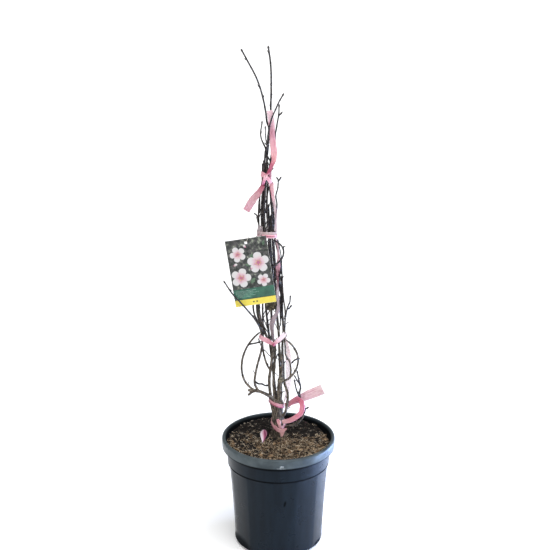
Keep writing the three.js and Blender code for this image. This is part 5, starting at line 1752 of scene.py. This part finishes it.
LABEL = {
    "width": 98, "height": 165, "thickness": 0.8, "lean": math.radians(1.8),
    "roll": math.radians(8.7), "centre": (-65.5, -19.5, 718.5), "hole": (-0.5, 72, 2.6),
    "corner": 2.5, "bow": 0.5,
}
INK_RISE = 0.03  # how far each layer of the print stands out, larger than life so that it shows
INK_MARGIN = 0.25  # how far the print keeps from the card's edge
# Each ink's shades and the grain of its cloud.
INKS = {
    "ink_hedge": (["#090b0a", "#171b17", "#2b322b", "#443f43", "#53584b", "#8f9585"], 10),
    "ink_teal": (["#1a4237", "#316b54"], 20),
    "ink_black": (["#15211d", "#27332e"], 6),
    "ink_yellow": (["#d5c043", "#e0cf52"], 14),
    "ink_leaf": (["#2f4637", "#5f7a5c"], 5),
    "ink_stamen": (["#a88a4a", "#d9c074"], 2),
    "ink_pale": (["#4f7a6c", "#9cb8aa"], 3),
}

# Bands of the print, as shares of the card's height from its head.
PICTURE_FOOT = 0.74
BAND_FOOT = 0.893
LINE_FOOT = 0.902

# Plain lines on the band, by length, and plain square marks on the strip below it.
PRINTED_LINES = (50, 44, 56, 40, 48, 36)
MARKS, MARK_SIZE = (-4.5, 3.5), 3.4

# Open five-petalled blossoms, sprays of buds and leaves: place across and up, reach and turn.
BLOSSOMS = [(-25, -12, 24, 0.35), (21, 20, 26, 0.0), (-24, 46, 19, 0.9), (27, -24, 16, 0.6)]
BUD_SPRAYS = [(2, 5, 7, 0.4), (-2, 60, 6, -0.6), (-38, 20, 6, 1.2)]
LEAVES = [(-4, -28, 17, 0.8), (4, 42, 16, 2.3), (-40, 3, 14, 2.6), (40, 0, 14, -0.5),
          (-10, 20, 15, 1.9), (38, 60, 13, 0.3)]


def label_frame():
    turn = Matrix.Rotation(-LABEL["lean"], 4, "X") @ Matrix.Rotation(-LABEL["roll"], 4, "Y")
    return Matrix.Translation(LABEL["centre"]) @ turn


def on_card(bm):
    """Bows a flat shape like the card, and hangs it in the card's place."""
    for vert in bm.verts:
        vert.co.y += LABEL["bow"] * ((vert.co.x / (LABEL["width"] / 2)) ** 2 - 0.5)
    bm.transform(label_frame())
    return bm


def make_card(finish):
    w, h = LABEL["width"], LABEL["height"]
    bm = bmesh.new()
    bmesh.ops.create_grid(bm, x_segments=1, y_segments=1, size=0.5, matrix=LAID_BACK)
    bmesh.ops.scale(bm, verts=bm.verts, vec=(w, 1, h))
    bmesh.ops.bevel(bm, geom=bm.verts[:], offset=LABEL["corner"], offset_type="OFFSET", segments=6,
                    profile=0.5, affect="VERTICES", material=-1)
    for i in range(1, 12):
        cut = w * (i / 12 - 0.5)
        bmesh.ops.bisect_plane(bm, geom=bm.verts[:] + bm.edges[:] + bm.faces[:],
                               plane_co=(cut, 0, 0), plane_no=(1, 0, 0))
    made = bmesh.ops.extrude_face_region(bm, geom=bm.faces[:])["geom"]
    moved = [item for item in made if isinstance(item, bmesh.types.BMVert)]
    bmesh.ops.translate(bm, verts=moved, vec=(0, LABEL["thickness"], 0))
    bmesh.ops.translate(bm, verts=bm.verts, vec=(0, -LABEL["thickness"] / 2, 0))
    bmesh.ops.recalc_face_normals(bm, faces=bm.faces)
    card = as_object("label_card_stock", on_card(bm))
    across, up, radius = LABEL["hole"]
    tool = bmesh.new()
    add_bar(tool, radius, 6, label_frame() @ Matrix.Translation((across, 0, up)) @ LAID_BACK)
    cut_away(card, tool)
    deliver(card, ["label_card"], [finish], crease=40)


def print_panel(bm, left, right, head, foot, layer, index):
    """A rectangle of ink, in enough pieces to follow the card's bow."""
    made = bmesh.ops.create_grid(bm, x_segments=12, y_segments=2, size=0.5,
                                 matrix=LAID_BACK)["verts"]
    middle = ((left + right) / 2, -LABEL["thickness"] / 2 - INK_RISE * layer, (head + foot) / 2)
    bmesh.ops.scale(bm, verts=made, vec=(right - left, 1, head - foot))
    bmesh.ops.translate(bm, verts=made, vec=middle)
    for face in {face for vert in made for face in vert.link_faces}:
        face.material_index = index


def print_leaf(bm, x, z, length, width, turn, layer, index, bloom=None):
    """A printed petal or leaf: a disc drawn out to a soft point, with its foot at x, z."""
    made = bmesh.ops.create_circle(bm, cap_ends=True, segments=22, radius=0.5,
                                   matrix=LAID_BACK)["verts"]
    place = Matrix.Translation((x, -LABEL["thickness"] / 2 - INK_RISE * layer, z))
    place = place @ Matrix.Rotation(turn, 4, "Y")
    for vert in made:
        share = vert.co.z + 0.5
        if bloom is not None:
            vert[bloom] = share
        narrow = 0.55 + 0.65 * share if bloom is not None else 1.15 * (1.05 - abs(share - 0.45))
        vert.co = place @ Vector((vert.co.x * width * narrow, 0, share * length))
    made[0].link_faces[0].material_index = index


def make_print():
    finishes = {name: printed(name, *ink) for name, ink in INKS.items()}
    finishes["ink_petal"] = printed_petal()
    w, h = LABEL["width"] / 2 - INK_MARGIN, LABEL["height"] / 2 - INK_MARGIN
    across, up, radius = LABEL["hole"]
    picture = h - PICTURE_FOOT * LABEL["height"]
    band = h - BAND_FOOT * LABEL["height"]
    line = h - LINE_FOOT * LABEL["height"]
    index = {name: number for number, name in enumerate(finishes)}
    bm = bmesh.new()
    bloom = bm.verts.layers.float.new("bloom")
    gap = radius + 0.6
    for ink, *sides in (
        ("ink_hedge", -w, across - gap, h, picture), ("ink_hedge", across + gap, w, h, picture),
        ("ink_hedge", across - gap, across + gap, up - gap, picture),
        ("ink_hedge", across - gap, across + gap, h, up + gap),
        ("ink_teal", -w, w, picture, band), ("ink_black", -w, w, band, line),
        ("ink_yellow", -w, w, line, -h),
    ):
        print_panel(bm, *sides, 1, index[ink])
    for number, (x, z, length, turn) in enumerate(LEAVES):
        print_leaf(bm, x, z, length, length * 0.45, turn, 2 + 0.1 * number, index["ink_leaf"])
    for number, (x, z, reach, turn) in enumerate(BLOSSOMS):
        for petal in range(5):
            swing = turn + petal / 5 * FULL_TURN
            layer = 3 + 0.6 * number + 0.1 * petal
            print_leaf(bm, x, z, reach, reach * 0.8, swing, layer, index["ink_petal"], bloom)
        for dot in range(7):
            swing = dot / 7 * FULL_TURN
            out = reach * 0.16
            spot = (x + out * math.sin(swing), z + out * math.cos(swing))
            print_leaf(bm, *spot, reach * 0.12, reach * 0.09, swing, 6 + 0.05 * dot,
                       index["ink_stamen"])
    for number, (x, z, length, turn) in enumerate(BUD_SPRAYS):
        print_leaf(bm, x, z, length * 1.6, length, turn, 5.6 + 0.1 * number, index["ink_petal"], bloom)
    left = -w + 4
    for number, long in enumerate(PRINTED_LINES):
        level = picture - 5 - 3 * number
        print_panel(bm, left, left + long, level + 0.4, level - 0.4, 2, index["ink_pale"])
    middle, half = (line - h) / 2, MARK_SIZE / 2
    for x in MARKS:
        print_panel(bm, x - half, x + half, middle + half, middle - half, 2, index["ink_black"])
    deliver(as_object("label_print", on_card(bm)), ["label_card"], finishes.values())


def make_thread(finish):
    """The tie thread: two plies twisted, from the hole over the card's head to the upper tie."""
    across, up, _ = LABEL["hole"]
    place = label_frame()
    head = LABEL["height"] / 2
    points = [place @ Vector(p) for p in (
        (across, 2.4, up), (across, -1.4, up + 0.6), (across + 4, -1.7, up + 6),
        (across + 6.5, -1.5, head + 0.8), (across + 7.5, 0, head + 1.9),
        (across + 8.5, 1.6, head + 0.8), (across + 10, 3.4, head - 5))]
    points.append(Vector((-51.6, -6.8, 800)))
    core = Course(smooth_line(points))
    turns = core.length / 3.2
    count = 150
    row = stations(core, [i / count for i in range(count + 1)])
    plies = []
    for ply in range(2):
        strand = []
        for station in row[::3]:
            angle = FULL_TURN * (station.share * turns + ply / 2)
            out = station.across * math.cos(angle) + station.deep * math.sin(angle)
            strand.append(station.point + out * 0.32)
        plies.append(dict(course=Course(smooth_line(strand)), radius=taper(0.36, 0.36), sides=6, step=0.6))
    deliver(as_object("label_twine", closed_tubes(plies)), ["label_thread"], [finish])


def blade(length, width, cup, thickness, ragged, seed, skew):
    """A cupped blade, ribbed along its length, as a grid with thickness. Above 1 a skew draws its
    foot out to a point and leaves its head round."""
    curl = 0.004
    def place_at(side, share):
        reach = 0.06 + 0.94 * math.sin(math.pi * (0.02 + 0.96 * share ** skew)) ** 0.8
        half = width / 2 * reach * (1 + ragged * noise.noise(Vector((share * 7, side, seed))))
        lift = cup * reach * side * side + curl * (share - 0.5) ** 2
        rib = 0.16 * math.cos(side * 14) * (1 - side * side)
        ruffle = ragged * 5 * noise.noise(Vector((share * 3, side * 1.4, seed + 4)))
        place = (side * half, (share - 0.5) * length, lift + rib + ruffle)
        return place, (side * width / 2 * MM, (share - 0.5) * length * MM, share)

    bm = film(14, 30, place_at)
    bmesh.ops.solidify(bm, geom=bm.faces[:], thickness=thickness)
    bmesh.ops.recalc_face_normals(bm, faces=bm.faces)
    return bm


def make_petal(finish):
    bm = blade(60, 17, 3.2, 0.8, 0.04, 51, skew=1.5)
    turn = Euler((math.radians(7), 0, math.radians(-3))).to_matrix().to_4x4()
    bm.transform(Matrix.Translation((-37, -6, SOIL["crown_level"] + 4.5)) @ turn)
    deliver(as_object("fallen_petal", bm), ["petal"], [finish])


def make_dead_leaf(finish):
    bm = blade(46, 26, 2, 0.5, 0.25, 52, skew=0.6)
    bm.transform(Matrix.Translation((-19, -8.6, 639.5)) @ LAID_BACK)
    deliver(as_object("withered_leaf_blade", bm), ["dead_leaf"], [finish])


# ---------------------------------------------------------------- the whole plant

set_camera()
set_lights()

ground = bmesh.new()
bmesh.ops.create_grid(ground, x_segments=1, y_segments=1, size=FLOOR["reach"] / 2 / MM)
bmesh.ops.translate(ground, verts=ground.verts, vec=(0, 0, -FLOOR["below"] / MM))
floor = as_object("studio_floor", ground)
floor.data.materials.append(studio_paper())

lay_out_limbs()
bark = living_bark("living_bark", True, ["#17130f", "#4c4238", "#978b7c"])
twig_skin = twig_bark()
make_trunk(living_bark("trunk_bark", False, ["#15110e", "#4a4037", "#a09482"]))
for mass_number, (mass_name, mass_plan) in enumerate(MASSES.items()):
    grow_twigs(mass_name, mass_plan, FIRST_TWIG_SEED + mass_number, twig_skin)
make_limbs(bark, sawn_wood())
make_cross_twigs(twig_skin)
make_buds(bud_scales())

make_pot(moulded_polypropylene())
make_bed(litter("composted_peat", ["#060504", "#0f0c0a", "#1d1713"], 2.0))
make_litter()
make_petal(waxy_petal())

make_ties()
make_strips()
make_card(printed("card_stock", ["#e8e9e4", "#f2f2ee"], 30))
make_print()
make_thread(tying_twine())
make_dead_leaf(withered_leaf())
